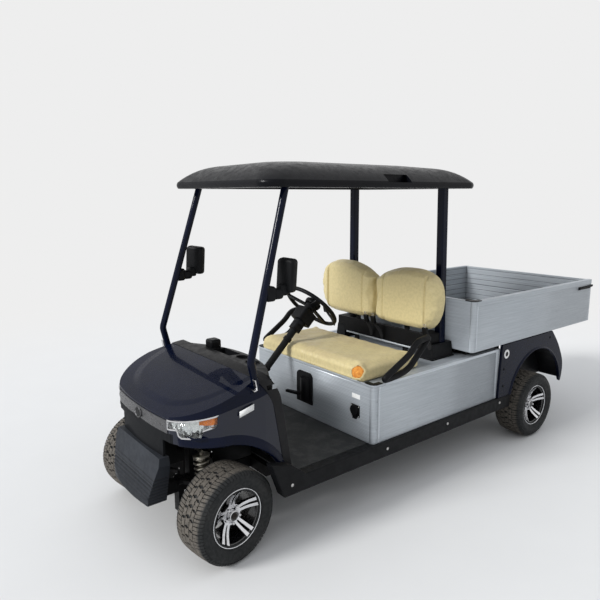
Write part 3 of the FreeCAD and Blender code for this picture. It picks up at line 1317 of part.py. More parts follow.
def leaf_springs():
    """Leaf pack beside each rear rail, hung from a pin in front and a shackle behind."""
    y = v.front_axle_y + v.wheelbase
    start = v.rail_x + v.rail_width / 2 + 10
    top = v.tyre_radius - 34
    span = 330
    rise = 96
    shape = None
    for leaf in range(3):
        half = span - leaf * 80
        low = top - leaf * 8
        drop = rise * (half / span) ** 2
        path = Part.Arc(Vector(start, y - half, low + drop), Vector(start, y, low), Vector(start, y + half, low + drop))
        strip = path.toShape().extrude(Vector(44, 0, 0)).extrude(Vector(0, 0, -8))
        shape = strip if shape is None else shape.fuse(strip)
    eye_z = top + rise - 4
    for eye_y, reach in ((y - span, 10), (y + span, 0)):
        shape = shape.fuse(Part.makeCylinder(14, 44, Vector(start, eye_y, eye_z), Vector(1, 0, 0)))
        shape = shape.fuse(Part.makeCylinder(8, 44 + reach, Vector(start - reach, eye_y, eye_z), Vector(1, 0, 0)))
    shackle_top = v.rail_low + v.kick_rise + 30
    for plate_x in (start - 6, start + 44):
        shape = shape.fuse(Part.makeBox(6, 28, shackle_top - eye_z + 28, Vector(plate_x, y + span - 14, eye_z - 14)))
    shape = shape.fuse(Part.makeCylinder(8, 60, Vector(start - 10, y + span, shackle_top), Vector(1, 0, 0)))
    node("leaf_springs", shaped("leaf_packs", both(shape)))


for end in ("front", "rear"):
    for side in ("left", "right"):
        wheel(end, side)
for side in ("left", "right"):
    knuckle(side)
tie_rod()
front_arms()
coil_over()
rear_axle()
frame_rails()
frame_crossmembers()
front_subframe()
floor()
sills()
seat_box()
battery()
charge_socket()
bed()
bed_latches()
tailgate()
front_body()
roof()
pillars()
pillar_boots()
seat()
seat_back_frame()
armrests()
steering()
pedals()
shift_panel()
bumper()
dash()
rear_fenders()
mirror_pair()
tail_lamps()
leaf_springs()

doc.recompute()
failed = [thing.Name for thing in doc.Objects if "Invalid" in thing.State or "Error" in thing.State]
if failed:
    raise SystemExit(f"failed objects: {failed}")
os.makedirs("parts", exist_ok=True)
for thing in NODES:
    if thing.Shape.isNull() or not thing.Shape.isValid():
        raise SystemExit(f"bad shape: {thing.Label}")
for thing in NODES:
    thing.Shape.exportStep(f"parts/{thing.Label}.step")
print(len(NODES), "sub-parts")
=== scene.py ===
import json
import math

import bmesh
import bpy
from mathutils import Matrix, Vector, bvhtree, noise


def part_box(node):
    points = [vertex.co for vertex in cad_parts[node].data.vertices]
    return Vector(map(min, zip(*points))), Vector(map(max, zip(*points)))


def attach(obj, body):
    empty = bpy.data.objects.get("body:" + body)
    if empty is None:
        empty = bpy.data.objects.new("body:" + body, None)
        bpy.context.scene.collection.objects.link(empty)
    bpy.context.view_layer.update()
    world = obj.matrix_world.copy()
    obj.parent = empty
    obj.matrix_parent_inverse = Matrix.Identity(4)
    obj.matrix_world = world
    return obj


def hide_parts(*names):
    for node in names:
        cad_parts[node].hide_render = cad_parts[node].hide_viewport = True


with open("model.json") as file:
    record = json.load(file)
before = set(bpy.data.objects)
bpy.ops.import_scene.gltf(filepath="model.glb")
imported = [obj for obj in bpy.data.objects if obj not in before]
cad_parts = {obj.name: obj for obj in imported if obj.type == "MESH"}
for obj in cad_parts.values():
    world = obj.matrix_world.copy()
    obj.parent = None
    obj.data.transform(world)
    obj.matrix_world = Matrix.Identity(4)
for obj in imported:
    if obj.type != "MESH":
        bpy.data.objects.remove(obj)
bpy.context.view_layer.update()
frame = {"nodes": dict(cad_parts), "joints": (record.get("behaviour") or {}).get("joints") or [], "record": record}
scene = bpy.context.scene
record = frame["record"]
SLOT_OF = {part["node"]: part["material_slot"] for part in record["subparts"]}

# Camera: the photograph's viewpoint, fitted to the cart's own frame
CAMERA_PLACE = Vector((2.653, -2.810, 1.739))
CAMERA_YAW, CAMERA_PITCH, CAMERA_ROLL = 0.8954, -0.1783, -0.0024
CAMERA_LENS = 34.36
CAMERA_SHIFT = -0.003

# Sizes in metres that several pieces share, from the frame
TYRE_RADIUS = (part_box("tyre_rear_left")[1].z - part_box("tyre_rear_left")[0].z) / 2
TYRE_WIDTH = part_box("tyre_rear_left")[1].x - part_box("tyre_rear_left")[0].x
RIM_RADIUS = (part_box("rim_rear_left")[1].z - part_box("rim_rear_left")[0].z) / 2
RIM_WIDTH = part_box("rim_rear_left")[1].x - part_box("rim_rear_left")[0].x
FRONT_STEER = math.radians(7)
SILL_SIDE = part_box("sill_left")[1].x
BOX_LOW, BOX_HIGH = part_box("seat_box_sides")
DECK_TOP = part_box("seat_deck")[1].z
BED_LOW, BED_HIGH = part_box("bed_side_left")
CUSHION_LOW, CUSHION_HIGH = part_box("seat_cushion")
BACK_LOW, BACK_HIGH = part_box("seat_back")


# Helpers

def tone(red, green, blue):
    """A linear colour from the three display values between 0 and 255."""
    shares = [value / 255 for value in (red, green, blue)]
    return tuple(share / 12.92 if share < 11 / 255 else ((share + 0.055) / 1.055) ** 2.4 for share in shares)


class Look:
    """A material whose nodes are added and linked by short calls."""

    def __init__(self, name, colour, rough, metal=0.0, **sockets):
        self.material = bpy.data.materials.new(name)
        self.material.use_nodes = True
        self.tree = self.material.node_tree
        self.shader = self.tree.nodes["Principled BSDF"]
        self.slot = None
        self.feed(self.shader.inputs["Base Color"], (*colour, 1))
        self.feed(self.shader.inputs["Roughness"], rough)
        self.feed(self.shader.inputs["Metallic"], metal)
        for socket, value in sockets.items():
            self.feed(self.shader.inputs[socket.replace("_", " ")], value)
        self.place = self.node("TexCoord").outputs["Object"]

    def node(self, kind, inputs=None, **settings):
        made = self.tree.nodes.new("ShaderNode" + kind)
        for name, value in settings.items():
            setattr(made, name, value)
        for name, value in (inputs or {}).items():
            self.feed(made.inputs[name], value)
        return made

    def feed(self, socket, value):
        """Link an output to a socket, or set the socket to a plain value."""
        if isinstance(value, bpy.types.NodeSocket):
            self.tree.links.new(value, socket)
        else:
            socket.default_value = value

    def math(self, operation, first, second=0.0):
        made = self.node("Math", operation=operation)
        self.feed(made.inputs[0], first)
        self.feed(made.inputs[1], second)
        return made.outputs[0]

    def times(self, first, second):
        return self.math("MULTIPLY", first, second)

    def plus(self, first, second):
        return self.math("ADD", first, second)

    def minus(self, first, second):
        return self.math("SUBTRACT", first, second)

    def over(self, first, second):
        return self.math("DIVIDE", first, second)

    def size(self, value):
        return self.math("ABSOLUTE", value)

    def waves(self, value, pitch):
        """A sine wave along a coordinate."""
        return self.math("SINE", self.times(value, 2 * math.pi / pitch))

    def from_joint(self, value, pitch):
        """The distance from evenly spaced joints: 0 on a joint, half at the middle between two."""
        return self.size(self.minus(self.math("FRACT", self.over(value, pitch)), 0.5))

    def axes(self, vector=None):
        """The three coordinates of a vector, apart."""
        made = self.node("SeparateXYZ", {"Vector": vector or self.place})
        return made.outputs[0], made.outputs[1], made.outputs[2]

    def stretched(self, *scale):
        """The place, stretched along the axes."""
        return self.node("Mapping", {"Vector": self.place, "Scale": scale}).outputs[0]

    def noise(self, scale, detail=4.0, vector=None, rough=0.55):
        inputs = {"Vector": vector or self.place, "Scale": scale, "Detail": detail, "Roughness": rough}
        return self.node("TexNoise", inputs).outputs[0]

    def cells(self, scale, vector=None, feature="F1"):
        inputs = {"Vector": vector or self.place, "Scale": scale}
        return self.node("TexVoronoi", inputs, feature=feature).outputs["Distance"]

    def between(self, value, low, high, to_low=0.0, to_high=1.0):
        """A value eased from one range to another and held there."""
        inputs = {"Value": value, "From Min": low, "From Max": high, "To Min": to_low, "To Max": to_high}
        return self.node("MapRange", inputs, interpolation_type="SMOOTHSTEP").outputs[0]

    def mixed(self, share, first, second):
        """A colour between two others."""
        made = self.node("Mix", data_type="RGBA")
        self.feed(made.inputs[0], share)
        self.feed(made.inputs[6], first if isinstance(first, bpy.types.NodeSocket) else (*first[:3], 1))
        self.feed(made.inputs[7], second if isinstance(second, bpy.types.NodeSocket) else (*second[:3], 1))
        return made.outputs[2]

    def facing(self, axis=2):
        """How far the surface faces along an axis."""
        normal = self.node("NewGeometry").outputs["Normal"]
        return self.axes(normal)[axis]

    def paint(self, colour):
        self.feed(self.shader.inputs["Base Color"], colour)

    def painted(self):
        """The colour that the surface has so far."""
        return self.shader.inputs["Base Color"].links[0].from_socket

    def rough(self, value):
        self.feed(self.shader.inputs["Roughness"], value)

    def relief(self, height, depth, strength=1.0):
        """Bump of a height map, on top of the bump that is there."""
        made = self.node("Bump", {"Height": height, "Distance": depth, "Strength": strength})
        before = self.shader.inputs["Normal"]
        if before.is_linked:
            self.feed(made.inputs["Normal"], before.links[0].from_socket)
        self.feed(before, made.outputs[0])


def piece(name, form, look, sharp=35, slot=None, body="chassis"):
    """A new mesh that rides on a body. A form is verts and faces, with marks where it has several looks."""
    verts, faces, *marks = form
    mesh = bpy.data.meshes.new(name)
    mesh.from_pydata([tuple(vert) for vert in verts], [], faces)
    return finished(mesh, name, look, sharp, slot, body, *marks)


def face_outward(mesh):
    """Turns all faces of a mesh outward."""
    tidy = bmesh.new()
    tidy.from_mesh(mesh)
    bmesh.ops.recalc_face_normals(tidy, faces=tidy.faces)
    tidy.to_mesh(mesh)
    tidy.free()


def finished(mesh, name, look, sharp=35, slot=None, body="chassis", marks=()):
    """A piece from a mesh. Marks give each face its place in the list of looks."""
    made = bpy.data.objects.new(name, mesh)
    scene.collection.objects.link(made)
    looks = look if isinstance(look, list) else [look]
    for each in looks:
        mesh.materials.append(each.material)
    for polygon, mark in zip(mesh.polygons, marks):
        polygon.material_index = mark
    face_outward(mesh)
    mesh.shade_smooth()
    mesh.set_sharp_from_angle(angle=math.radians(sharp))
    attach(made, body)
    return made


def bevelled(made, width, segments=2):
    """Rounded edges on a piece."""
    rounding = made.modifiers.new("round", "BEVEL")
    rounding.width = width
    rounding.segments = segments
    rounding.limit_method = "ANGLE"
    rounding.angle_limit = math.radians(40)
    return made


def rounded(name, form, look, edge, segments=2, sharp=35, slot=None):
    """A piece with rounded edges."""
    return bevelled(piece(name, form, look, sharp, slot), edge, segments)


def thickened(made, depth, offset):
    """A sheet made into a thin shell."""
    thick = made.modifiers.new("thick", "SOLIDIFY")
    thick.thickness = depth
    thick.offset = offset
    return made


def block(low, high):
    """The corners and faces of a block, for pieces that get their edges rounded."""
    verts = [(x, y, z) for x in (low[0], high[0]) for y in (low[1], high[1]) for z in (low[2], high[2])]
    return verts, [(0, 1, 3, 2), (4, 6, 7, 5), (0, 4, 5, 1), (2, 3, 7, 6), (0, 2, 6, 4), (1, 5, 7, 3)]


def turned(profile, steps, closed=False, marks=(0,)):
    """A profile of (x, radius) points turned about the X axis, with a mark for each row of faces."""
    count = len(profile)
    verts = []
    for step in range(steps):
        angle = 2 * math.pi * step / steps
        verts += [(x, -radius * math.sin(angle), radius * math.cos(angle)) for x, radius in profile]
    faces = []
    rows = count if closed else count - 1
    for step in range(steps):
        here, there = step * count, (step + 1) % steps * count
        for row in range(rows):
            after = (row + 1) % count
            faces.append((here + row, here + after, there + after, there + row))
    if not closed:
        for row in (0, count - 1):
            faces.append(tuple(step * count + row for step in range(steps)))
    return verts, faces, [marks[index % len(marks)] for index in range(len(faces))]


def banded(rings, steps, closed=False):
    """Faces between neighbouring rings of equally many points, and from the last to the first if closed."""
    faces = []
    for row in range(rings if closed else rings - 1):
        here, there = row * steps, (row + 1) % rings * steps
        for i in range(steps):
            after = (i + 1) % steps
            faces.append((here + i, there + i, there + after, here + after))
    return faces


def lofted(sections):
    """A closed skin through sections of equally many points, capped at both ends."""
    count = len(sections[0])
    verts = [point for section in sections for point in section]
    faces = [tuple(range(count)), tuple(range(len(verts) - 1, len(verts) - count - 1, -1))]
    return verts, faces + banded(len(sections), count)


def upright(outline, y):
    """An outline of (x, z) points, set at a place along the cart."""
    return [(x, y, z) for x, z in outline]


def joined(forms):
    """Several forms as one."""
    verts, faces, marks = [], [], []
    for more_verts, more_faces, *more_marks in forms:
        faces += [tuple(index + len(verts) for index in face) for face in more_faces]
        verts += more_verts
        marks += more_marks[0] if more_marks else [0] * len(more_faces)
    return verts, faces, marks


def moved(form, matrix):
    """The same form, placed by a matrix."""
    verts, faces, *marks = form
    return [matrix @ Vector(vert) for vert in verts], faces, *marks


def mirrored(form, sign):
    """The form as it is on the left, or its mirror image for the right."""
    verts, faces, *marks = form
    return [(sign * x, y, z) for x, y, z in verts], faces, *marks


def aimed(place, direction):
    """The matrix that puts a piece turned about X at a place, facing along a direction."""
    turn = Vector((1, 0, 0)).rotation_difference(Vector(direction)).to_matrix().to_4x4()
    return Matrix.Translation(Vector(place)) @ turn


def both_sides(make):
    """Calls a maker for the vehicle's left and right."""
    for side, sign in (("left", 1), ("right", -1)):
        make(side, sign)


# Looks

def paint_look(name):
    """Navy-black gloss paint under a clear coat, with a thin film of dust where it faces up."""
    look = Look(name, tone(9, 12, 27), 0.3, Specular_IOR_Level=0.03, Coat_Weight=0.24, Coat_Roughness=0.03)
    dust = look.between(look.noise(24, 3), 0.5, 0.8, 0.0, 0.035)
    up = look.between(look.facing(), 0.3, 1.0, 0.1, 1.0)
    share = look.times(dust, up)
    deep = look.mixed(look.noise(3), tone(2, 5, 13), tone(4, 13, 40))
    look.paint(look.mixed(share, deep, tone(92, 88, 84)))
    look.rough(look.between(look.noise(90, 6), 0.3, 0.8, 0.22, 0.36))
    look.relief(look.noise(9, 2), 0.002, 0.04)
    return look


def hood_look():
    """The body's paint with the crease of the hood's raised middle."""
    look = paint_look("hood_gloss")
    across, along, _ = look.axes()
    far = look.math("POWER", look.size(look.over(across, HOOD_CREASE_HALF)), 3)
    ahead = look.size(look.over(look.minus(along, HOOD_CREASE_REAR), HOOD_CREASE_LENGTH))
    reach = look.plus(far, look.math("POWER", ahead, 3))
    look.relief(look.between(reach, 0.8, 1.12, 1.0, 0.0), 0.014, 1.0)
    return look


HOOD_CREASE_HALF = 0.41
HOOD_CREASE_REAR = -1.25
HOOD_CREASE_LENGTH = 0.42


def plastic_look(name, colour, rough, grain=1300, dusty=0.16, strength=0.3, dust_tone=(96, 94, 90)):
    """Moulded plastic with a fine grain, worn lighter in patches and dusty where it faces up."""
    look = Look(name, colour, rough, Specular_IOR_Level=0.13)
    patches = look.between(look.noise(7, 6), 0.35, 0.75)
    worn = look.mixed(look.times(patches, 0.5), colour, tuple(c * 1.6 + 0.001 for c in colour))
    up = look.between(look.facing(), 0.2, 1.0)
    specks = look.between(look.noise(160, 8, rough=0.7), 0.45, 0.75)
    share = look.times(look.times(up, specks), dusty)
    look.paint(look.mixed(share, worn, tone(*dust_tone)))
    look.rough(look.between(look.noise(30, 5), 0.3, 0.7, rough - 0.07, rough + 0.1))
    look.relief(look.noise(grain, 3, rough=0.65), 0.0005, strength)
    look.relief(look.noise(14, 3), 0.002, strength / 3)
    return look


# The pitch of the fine ribs on the aluminium planks
PLANK_RIBS = 0.0085


def aluminium_look(name, pitch=PLANK_RIBS, bright=0):
    """Anodised planks with fine ribs along them, faint streaks and grime low down."""
    look = Look(name, tone(170, 176, 182), 0.44, 0.45)
    height = look.axes()[2]
    upright = look.between(look.size(look.facing()), 0.3, 0.7, 1.0, 0.0)
    ribs = look.waves(height, pitch)
    look.relief(look.times(ribs, upright), 0.0005, 0.4)
    streaks = look.noise(3, 6, look.stretched(1.2, 1.2, 60))
    grain = look.noise(26, 5, look.stretched(1, 1, 9))
    base = look.mixed(look.between(streaks, 0.3, 0.7), tone(163 + bright, 169 + bright, 175 + bright),
                      tone(177 + bright, 183 + bright, 188 + bright))
    grime = look.times(look.between(grain, 0.5, 0.85), look.between(height, 0.36, 0.62, 0.3, 0.08))
    look.paint(look.mixed(grime, base, tone(124, 118, 108)))
    look.rough(look.between(grain, 0.3, 0.8, 0.38, 0.52))
    look.relief(look.noise(700, 3, look.stretched(1, 1, 6)), 0.0002, 0.2)
    return look


def bed_look():
    """Planks whose inner faces show the dark joints between their ribs."""
    look = aluminium_look("bed_planks")
    across, along, height = look.axes()
    normal_x, normal_y, _ = look.axes(look.node("NewGeometry").outputs["Normal"])
    middle = (BED_LOW.y + BED_HIGH.y) / 2
    outward = look.plus(look.times(across, normal_x),
                        look.times(look.minus(along, middle), normal_y))
    inner = look.between(outward, -0.3, -0.1, 1.0, 0.0)
    step = look.from_joint(height, 0.047)
    joint = look.times(look.between(step, 0.03, 0.06, 1.0, 0.0), inner)
    before = look.painted()
    look.paint(look.mixed(look.times(joint, 0.75), before, tone(52, 52, 54)))
    look.relief(look.minus(1.0, joint), 0.002, 0.6)
    return look


def vinyl_look(name, colour, stain):
    """Worn seat vinyl: leather grain, a soft sheen and soiled patches where people sit."""
    look = Look(name, colour, 0.42, Sheen_Weight=0.08, Specular_IOR_Level=0.45)
    clouds = look.between(look.noise(4.5, 7), 0.38, 0.72)
    up = look.between(look.facing(), 0.3, 0.9, 0.15, 1.0)
    soil = look.times(look.times(clouds, up), 0.45)
    fine = look.mixed(look.between(look.noise(60, 6), 0.35, 0.7), colour, tuple(c * 0.88 for c in colour))
    look.paint(look.mixed(soil, fine, stain))
    look.rough(look.between(look.noise(40, 4), 0.3, 0.7, 0.4, 0.56))
    look.relief(look.cells(620, feature="SMOOTH_F1"), 0.0004, 0.25)
    look.relief(look.noise(9, 3), 0.004, 0.18)
    return look


def tyre_look():
    """Tyre rubber in the wheel's own frame: dusty tread blocks, dark grooves and a ribbed wall."""
    look = Look("tyre_black", tone(22, 23, 24), 0.72, Specular_IOR_Level=0.35)
    _, along, height = look.axes()
    radius = look.math("SQRT", look.plus(look.times(along, along), look.times(height, height)))
    tread = look.between(radius, TYRE_RADIUS - 0.0055, TYRE_RADIUS - 0.002)
    specks = look.between(look.noise(85, 7, rough=0.7), 0.3, 0.66, 0.35, 0.85)
    wall_dust = look.between(look.noise(9, 6), 0.4, 0.8, 0.0, 0.25)
    wall = look.mixed(wall_dust, tone(25, 27, 28), tone(70, 68, 65))
    look.paint(look.mixed(look.times(tread, specks), wall, tone(98, 92, 84)))
    look.rough(look.between(look.noise(60, 4), 0.3, 0.7, 0.62, 0.86))
    rings = look.waves(radius, 0.0042)
    on_wall = look.between(radius, TYRE_RADIUS - 0.030, TYRE_RADIUS - 0.022, 1.0, 0.0)
    look.relief(look.times(rings, on_wall), 0.0004, 0.3)
    look.relief(look.noise(500, 3), 0.0005, 0.35)
    return look


def machined_look():
    """Bright turned aluminium of the spokes' faces and the rim's lip."""
    look = Look("rim_machined", tone(222, 223, 226), 0.2, 1.0)
    _, along, height = look.axes()
    radius = look.math("SQRT", look.plus(look.times(along, along), look.times(height, height)))
    lines = look.noise(2600, 2, look.node("CombineXYZ", {"X": radius}).outputs[0])
    look.relief(lines, 0.00025, 0.3)
    smear = look.between(look.noise(24, 5), 0.4, 0.75)
    look.paint(look.mixed(look.times(smear, 0.3), tone(224, 225, 228), tone(150, 146, 140)))
    look.rough(look.between(look.noise(40, 4), 0.3, 0.7, 0.16, 0.32))
    return look


def metal_look(name, colour, rough, dirt=(70, 62, 54), dirty=0.4):
    """Bare or plated metal with spots of grime."""
    look = Look(name, colour, rough, 1.0)
    spots = look.between(look.noise(45, 7), 0.48, 0.72)
    look.paint(look.mixed(look.times(spots, dirty), colour, tone(*dirt)))
    look.rough(look.between(look.noise(60, 5), 0.3, 0.75, rough, rough + 0.22))
    look.relief(look.noise(240, 3), 0.0004, 0.25)
    return look


def mat_look(name, colour, pitch):
    """Rubber floor with low ribs along it and dust between them."""
    look = Look(name, colour, 0.74)
    across = look.axes()[0]
    ribs = look.between(look.waves(across, pitch), 0.1, 0.5)
    dust = look.between(look.noise(18, 8), 0.4, 0.75, 0.05, 0.4)
    share = look.times(dust, look.minus(1.0, look.times(ribs, 0.6)))
    look.paint(look.mixed(share, colour, tone(96, 95, 92)))
    look.relief(ribs, 0.0018, 0.5)
    look.relief(look.noise(600, 3), 0.0004, 0.3)
    return look


def glass_look(name, colour, rough=0.03):
    """Thin clear plastic that shows what lies behind it, with light scratches."""
    look = Look(name, colour, rough, Transmission_Weight=1.0, IOR=1.12, Coat_Weight=0.5, Coat_Roughness=0.04)
    look.rough(look.between(look.noise(70, 6), 0.45, 0.8, rough, rough + 0.14))
    look.relief(look.noise(240, 2), 0.0001, 0.1)
    return look


def nose_look():
    """The fenders' paint, with the matt ribbed panel under the band."""
    look = paint_look("fender_navy")
    across, along, height = look.axes()
    side = look.between(look.size(across), NOSE_PANEL_HALF - 0.002, NOSE_PANEL_HALF, 1.0, 0.0)
    below = look.between(height, NOSE_PANEL_TOP - 0.002, NOSE_PANEL_TOP, 1.0, 0.0)
    ahead = look.between(along, NOSE_PANEL_REAR - 0.002, NOSE_PANEL_REAR, 1.0, 0.0)
    panel = look.times(look.times(side, below), ahead)
    before = look.painted()
    look.paint(look.mixed(panel, before, tone(24, 25, 27)))
    look.rough(look.between(panel, 0.0, 1.0, 0.3, 0.6))
    look.feed(look.shader.inputs["Coat Weight"], look.between(panel, 0.0, 1.0, 0.9, 0.05))
    ribs = look.waves(across, 0.011)
    look.relief(look.times(ribs, panel), 0.0012, 0.6)
    return look


# The nose panel's half width, top and rear limit
NOSE_PANEL_HALF = 0.318
NOSE_PANEL_TOP = 0.640
NOSE_PANEL_REAR = -1.60


def band_look():
    """Smoked chrome of the nose band, with a fine raised mesh."""
    look = metal_look("band_smoked", tone(98, 98, 100), 0.22, (60, 58, 56), 0.4)
    across, _, height = look.axes()
    first = look.waves(look.plus(across, height), 0.007)
    second = look.waves(look.minus(across, height), 0.007)
    look.relief(look.times(first, second), 0.0008, 0.5)
    return look


def bumper_look():
    """Faded bumper plastic with shallow ribs over its lower half, and painted shade darkening the grooves between
    them.
    """
    look = plastic_look("bumper_grey", tone(37, 40, 45), 0.5, 1100, 0.2)
    height = look.axes()[2]
    low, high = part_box("bumper")
    zone = look.between(height, low.z + (high.z - low.z) * 0.58, low.z + (high.z - low.z) * 0.64, 1.0, 0.0)
    step = look.from_joint(height, 0.0185)
    groove = look.times(look.between(step, 0.1, 0.2, 1.0, 0.0), zone)
    before = look.painted()
    # Painted shade: each groove is darkened halfway toward near black, as the shade inside it
    look.paint(look.mixed(look.times(groove, 0.5), before, tone(14, 15, 17)))
    look.relief(look.minus(1.0, groove), 0.003, 0.8)
    return look


def reflector_look():
    """Faceted chrome behind the lamp's lens, with its amber indicator at the outer top corner."""
    look = Look("lamp_reflector", tone(226, 226, 222), 0.22, 0.9)
    across, _, height = look.axes()
    side = look.between(look.size(across), AMBER_START - 0.003, AMBER_START)
    above = look.between(height, AMBER_LOW - 0.002, AMBER_LOW)
    amber = look.times(side, above)
    look.paint(look.mixed(amber, tone(216, 216, 212), tone(226, 120, 24)))
    look.feed(look.shader.inputs["Metallic"], look.between(amber, 0.2, 0.8, 0.95, 0.1))
    look.relief(look.cells(48, look.stretched(1, 1, 0.6)), 0.02, 0.4)
    return look


AMBER_START = 0.418
AMBER_LOW = 0.694


def plain_look(name, colour, rough, metal=0.0, spots=80, change=0.2, **sockets):
    """A small fitting's finish: its colour broken by fine spots and a little relief."""
    look = Look(name, colour, rough, metal, **sockets)
    share = look.times(look.between(look.noise(spots, 6), 0.35, 0.7), change)
    look.paint(look.mixed(share, colour, tuple(c * 0.55 for c in colour)))
    look.rough(look.between(look.noise(spots * 1.7, 4), 0.3, 0.7, rough, min(rough + 0.15, 1.0)))
    look.relief(look.noise(spots * 8, 3), 0.0004, 0.25)
    return look


def foam_look():
    """Open orange foam where the vinyl is torn."""
    look = Look("foam_orange", tone(222, 150, 62), 0.9)
    pores = look.cells(420)
    look.paint(look.mixed(look.between(look.noise(60, 6), 0.3, 0.7), tone(230, 160, 72), tone(196, 116, 40)))
    look.relief(pores, 0.003, 0.8)
    return look


LOOKS = {
    "pillar_paint": paint_look("pillar_gloss"),
    "frame_paint": plastic_look("frame_black", tone(13, 13, 14), 0.5, 600, 0.25),
    "body_gloss": paint_look("body_navy"),
    "black_plastic": plastic_look("plastic_black", tone(12, 13, 15), 0.48, dusty=0.1),
    "roof_plastic": plastic_look("roof_black", tone(5, 6, 11), 0.32, 900, 0.02, 0.08),
    "grey_plastic": bumper_look(),
    "trim_plastic": plastic_look("trim_grey", tone(30, 30, 31), 0.5),
    "case_plastic": plastic_look("case_grey", tone(50, 50, 51), 0.6),
    "floor_rubber": mat_look("floor_mat", tone(32, 34, 36), 0.011),
    "ribbed_aluminium": aluminium_look("planks"),
    "bed_floor_metal": mat_look("bed_deck", tone(50, 50, 52), 0.03),
    "alloy_rim": machined_look(),
    "tyre_rubber": tyre_look(),
    "cast_knuckle": metal_look("cast_iron", tone(60, 57, 54), 0.5, (44, 36, 30), 0.6),
    "spring_steel": metal_look("spring_plated", tone(176, 172, 160), 0.3),
    "chrome_band": metal_look("chrome", tone(205, 205, 206), 0.1, (90, 88, 86), 0.25),
    "lamp_glass": glass_look("lamp_clear", tone(245, 248, 250)),
    "lamp_red": plain_look("lamp_ruby", tone(150, 16, 14), 0.15, Coat_Weight=0.6),
    "beige_vinyl": vinyl_look("vinyl_beige", tone(204, 189, 140), tone(164, 144, 112)),
}
for slot_name, slot_look in LOOKS.items():
    slot_look.slot = slot_name


def counted_as(slot, look):
    """A look of added pieces, with the record's material that they count as."""
    look.slot = slot
    return look


MOULDED_BLACK, VINYL = LOOKS["black_plastic"], LOOKS["beige_vinyl"]
REFLECTOR = counted_as("lamp_glass", reflector_look())
RIM_BLACK = plain_look("rim_black", tone(12, 12, 14), 0.22, Coat_Weight=0.8, Coat_Roughness=0.06)
NUT_CHROME = counted_as("chrome_band", metal_look("nut_chrome", tone(210, 210, 212), 0.14))
CLOTH_BLACK = counted_as("black_plastic", plain_look("webbing_black", tone(18, 18, 19), 0.85, spots=300))
LABEL_WHITE = counted_as("body_gloss", plain_look("label_white", tone(226, 226, 224), 0.4, change=0.1))
STRIP_METAL = counted_as("ribbed_aluminium", aluminium_look("strip_metal", 0.02, 22))
SCREW_METAL = counted_as("chrome_band", metal_look("screw_zinc", tone(198, 198, 196), 0.3))
SILVERED = plain_look("mirror_silver", tone(226, 228, 230), 0.03, 1.0, change=0.05)
MIRROR_GLASS = counted_as("chrome_band", SILVERED)
FOAM = counted_as("beige_vinyl", foam_look())
CAP_BLACK = counted_as("black_plastic", plastic_look("cap_black", tone(9, 10, 12), 0.4, dusty=0.06))

# Nodes with a look of their own in place of their slot's
NODE_LOOKS = {
    "hood": hood_look(), "front_fenders": nose_look(), "nose_band": band_look(), "bed_front": bed_look(),
    "rear_fender_left": paint_look("wing_gloss"), "rear_fender_right": paint_look("wing_gloss"),
    "seat_deck": aluminium_look("deck_plate", bright=8),
}
NODE_LOOKS.update({name: NODE_LOOKS["bed_front"] for name in ("bed_side_left", "bed_side_right", "tailgate")})
for node_name, node_look in NODE_LOOKS.items():
    node_look.slot = SLOT_OF[node_name]


def dress_nodes():
    """Each CAD node gets the look of its slot, or its own."""
    for name, made in frame["nodes"].items():
        made.data.materials.clear()
        made.data.materials.append(NODE_LOOKS.get(name, LOOKS[SLOT_OF[name]]).material)


def round_nodes():
    """Small rounded edges on the moulded and folded nodes."""
    for name, width in ROUNDED.items():
        made = frame["nodes"][name]
        weld = made.modifiers.new("weld", "WELD")
        weld.merge_threshold = 0.00002
        bevelled(made, width)


# Widths of the rounded edges on CAD nodes, in metres
ROUNDED = {
    "bumper": 0.004, "sill_left": 0.006, "sill_right": 0.006, "pillar_boots": 0.005, "seat_deck": 0.003,
    "bed_latches": 0.002, "shift_panel": 0.002, "seat_back_frame": 0.002, "bed_bearers": 0.002,
    "cowl_trim": 0.002, "tail_lamps": 0.003, "mirrors": 0.004, "charge_socket": 0.003,
}


# Wheels

def wheel_places():
    """Each wheel's body, centre and turn about the vertical, with its outer face along its own +X."""
    places = []
    for end in ("front", "rear"):
        for side, sign in (("left", 1), ("right", -1)):
            low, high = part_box(f"rim_{end}_{side}")
            turn = (FRONT_STEER if end == "front" else 0) + (0 if sign > 0 else math.pi)
            places.append((f"{end}_{side}", (low + high) / 2, turn))
    return places


def crown(x):
    """The tyre's radius at a place across its tread and over its shoulders."""
    flat = TYRE_WIDTH * 0.36
    if abs(x) < flat:
        return TYRE_RADIUS - 0.003 * (abs(x) / flat) ** 2
    over = (abs(x) - flat) / (TYRE_WIDTH / 2 - flat)
    return TYRE_RADIUS - 0.003 - 0.024 * over ** 2.4


def tyre_carcass():
    """The tyre under its tread blocks, with a rim guard and a low rib on each wall."""
    half = TYRE_WIDTH / 2
    bead = RIM_WIDTH / 2 - 0.002
    steps = 14
    across = [half * 0.95 * (2 * i / steps - 1) for i in range(steps + 1)]
    tread = [(x, crown(x) - GROOVE) for x in across]
    wall = [(half * 0.985, TYRE_RADIUS - 0.034), (half, TYRE_RADIUS - 0.044), (half, TYRE_RADIUS - 0.047),
            (half * 0.985, TYRE_RADIUS - 0.05), (half * 0.95, RIM_RADIUS + 0.024),
            (half * 0.92, RIM_RADIUS + 0.015), (half * 0.922, RIM_RADIUS + 0.011),
            (half * 0.89, RIM_RADIUS + 0.005), (bead, RIM_RADIUS + 0.001)]
    inside = [(bead, RIM_RADIUS - 0.014), (-bead, RIM_RADIUS - 0.014)]
    inner = [(-max(x - INNER_WALL, bead), radius) for x, radius in reversed(wall)]
    return turned(tread + wall + inside + inner, 96, closed=True)


# The depth of the grooves between the tread blocks
GROOVE = 0.008

# How much flatter the inner wall is, which leaves the tie rod its room at full lock
INNER_WALL = 0.010

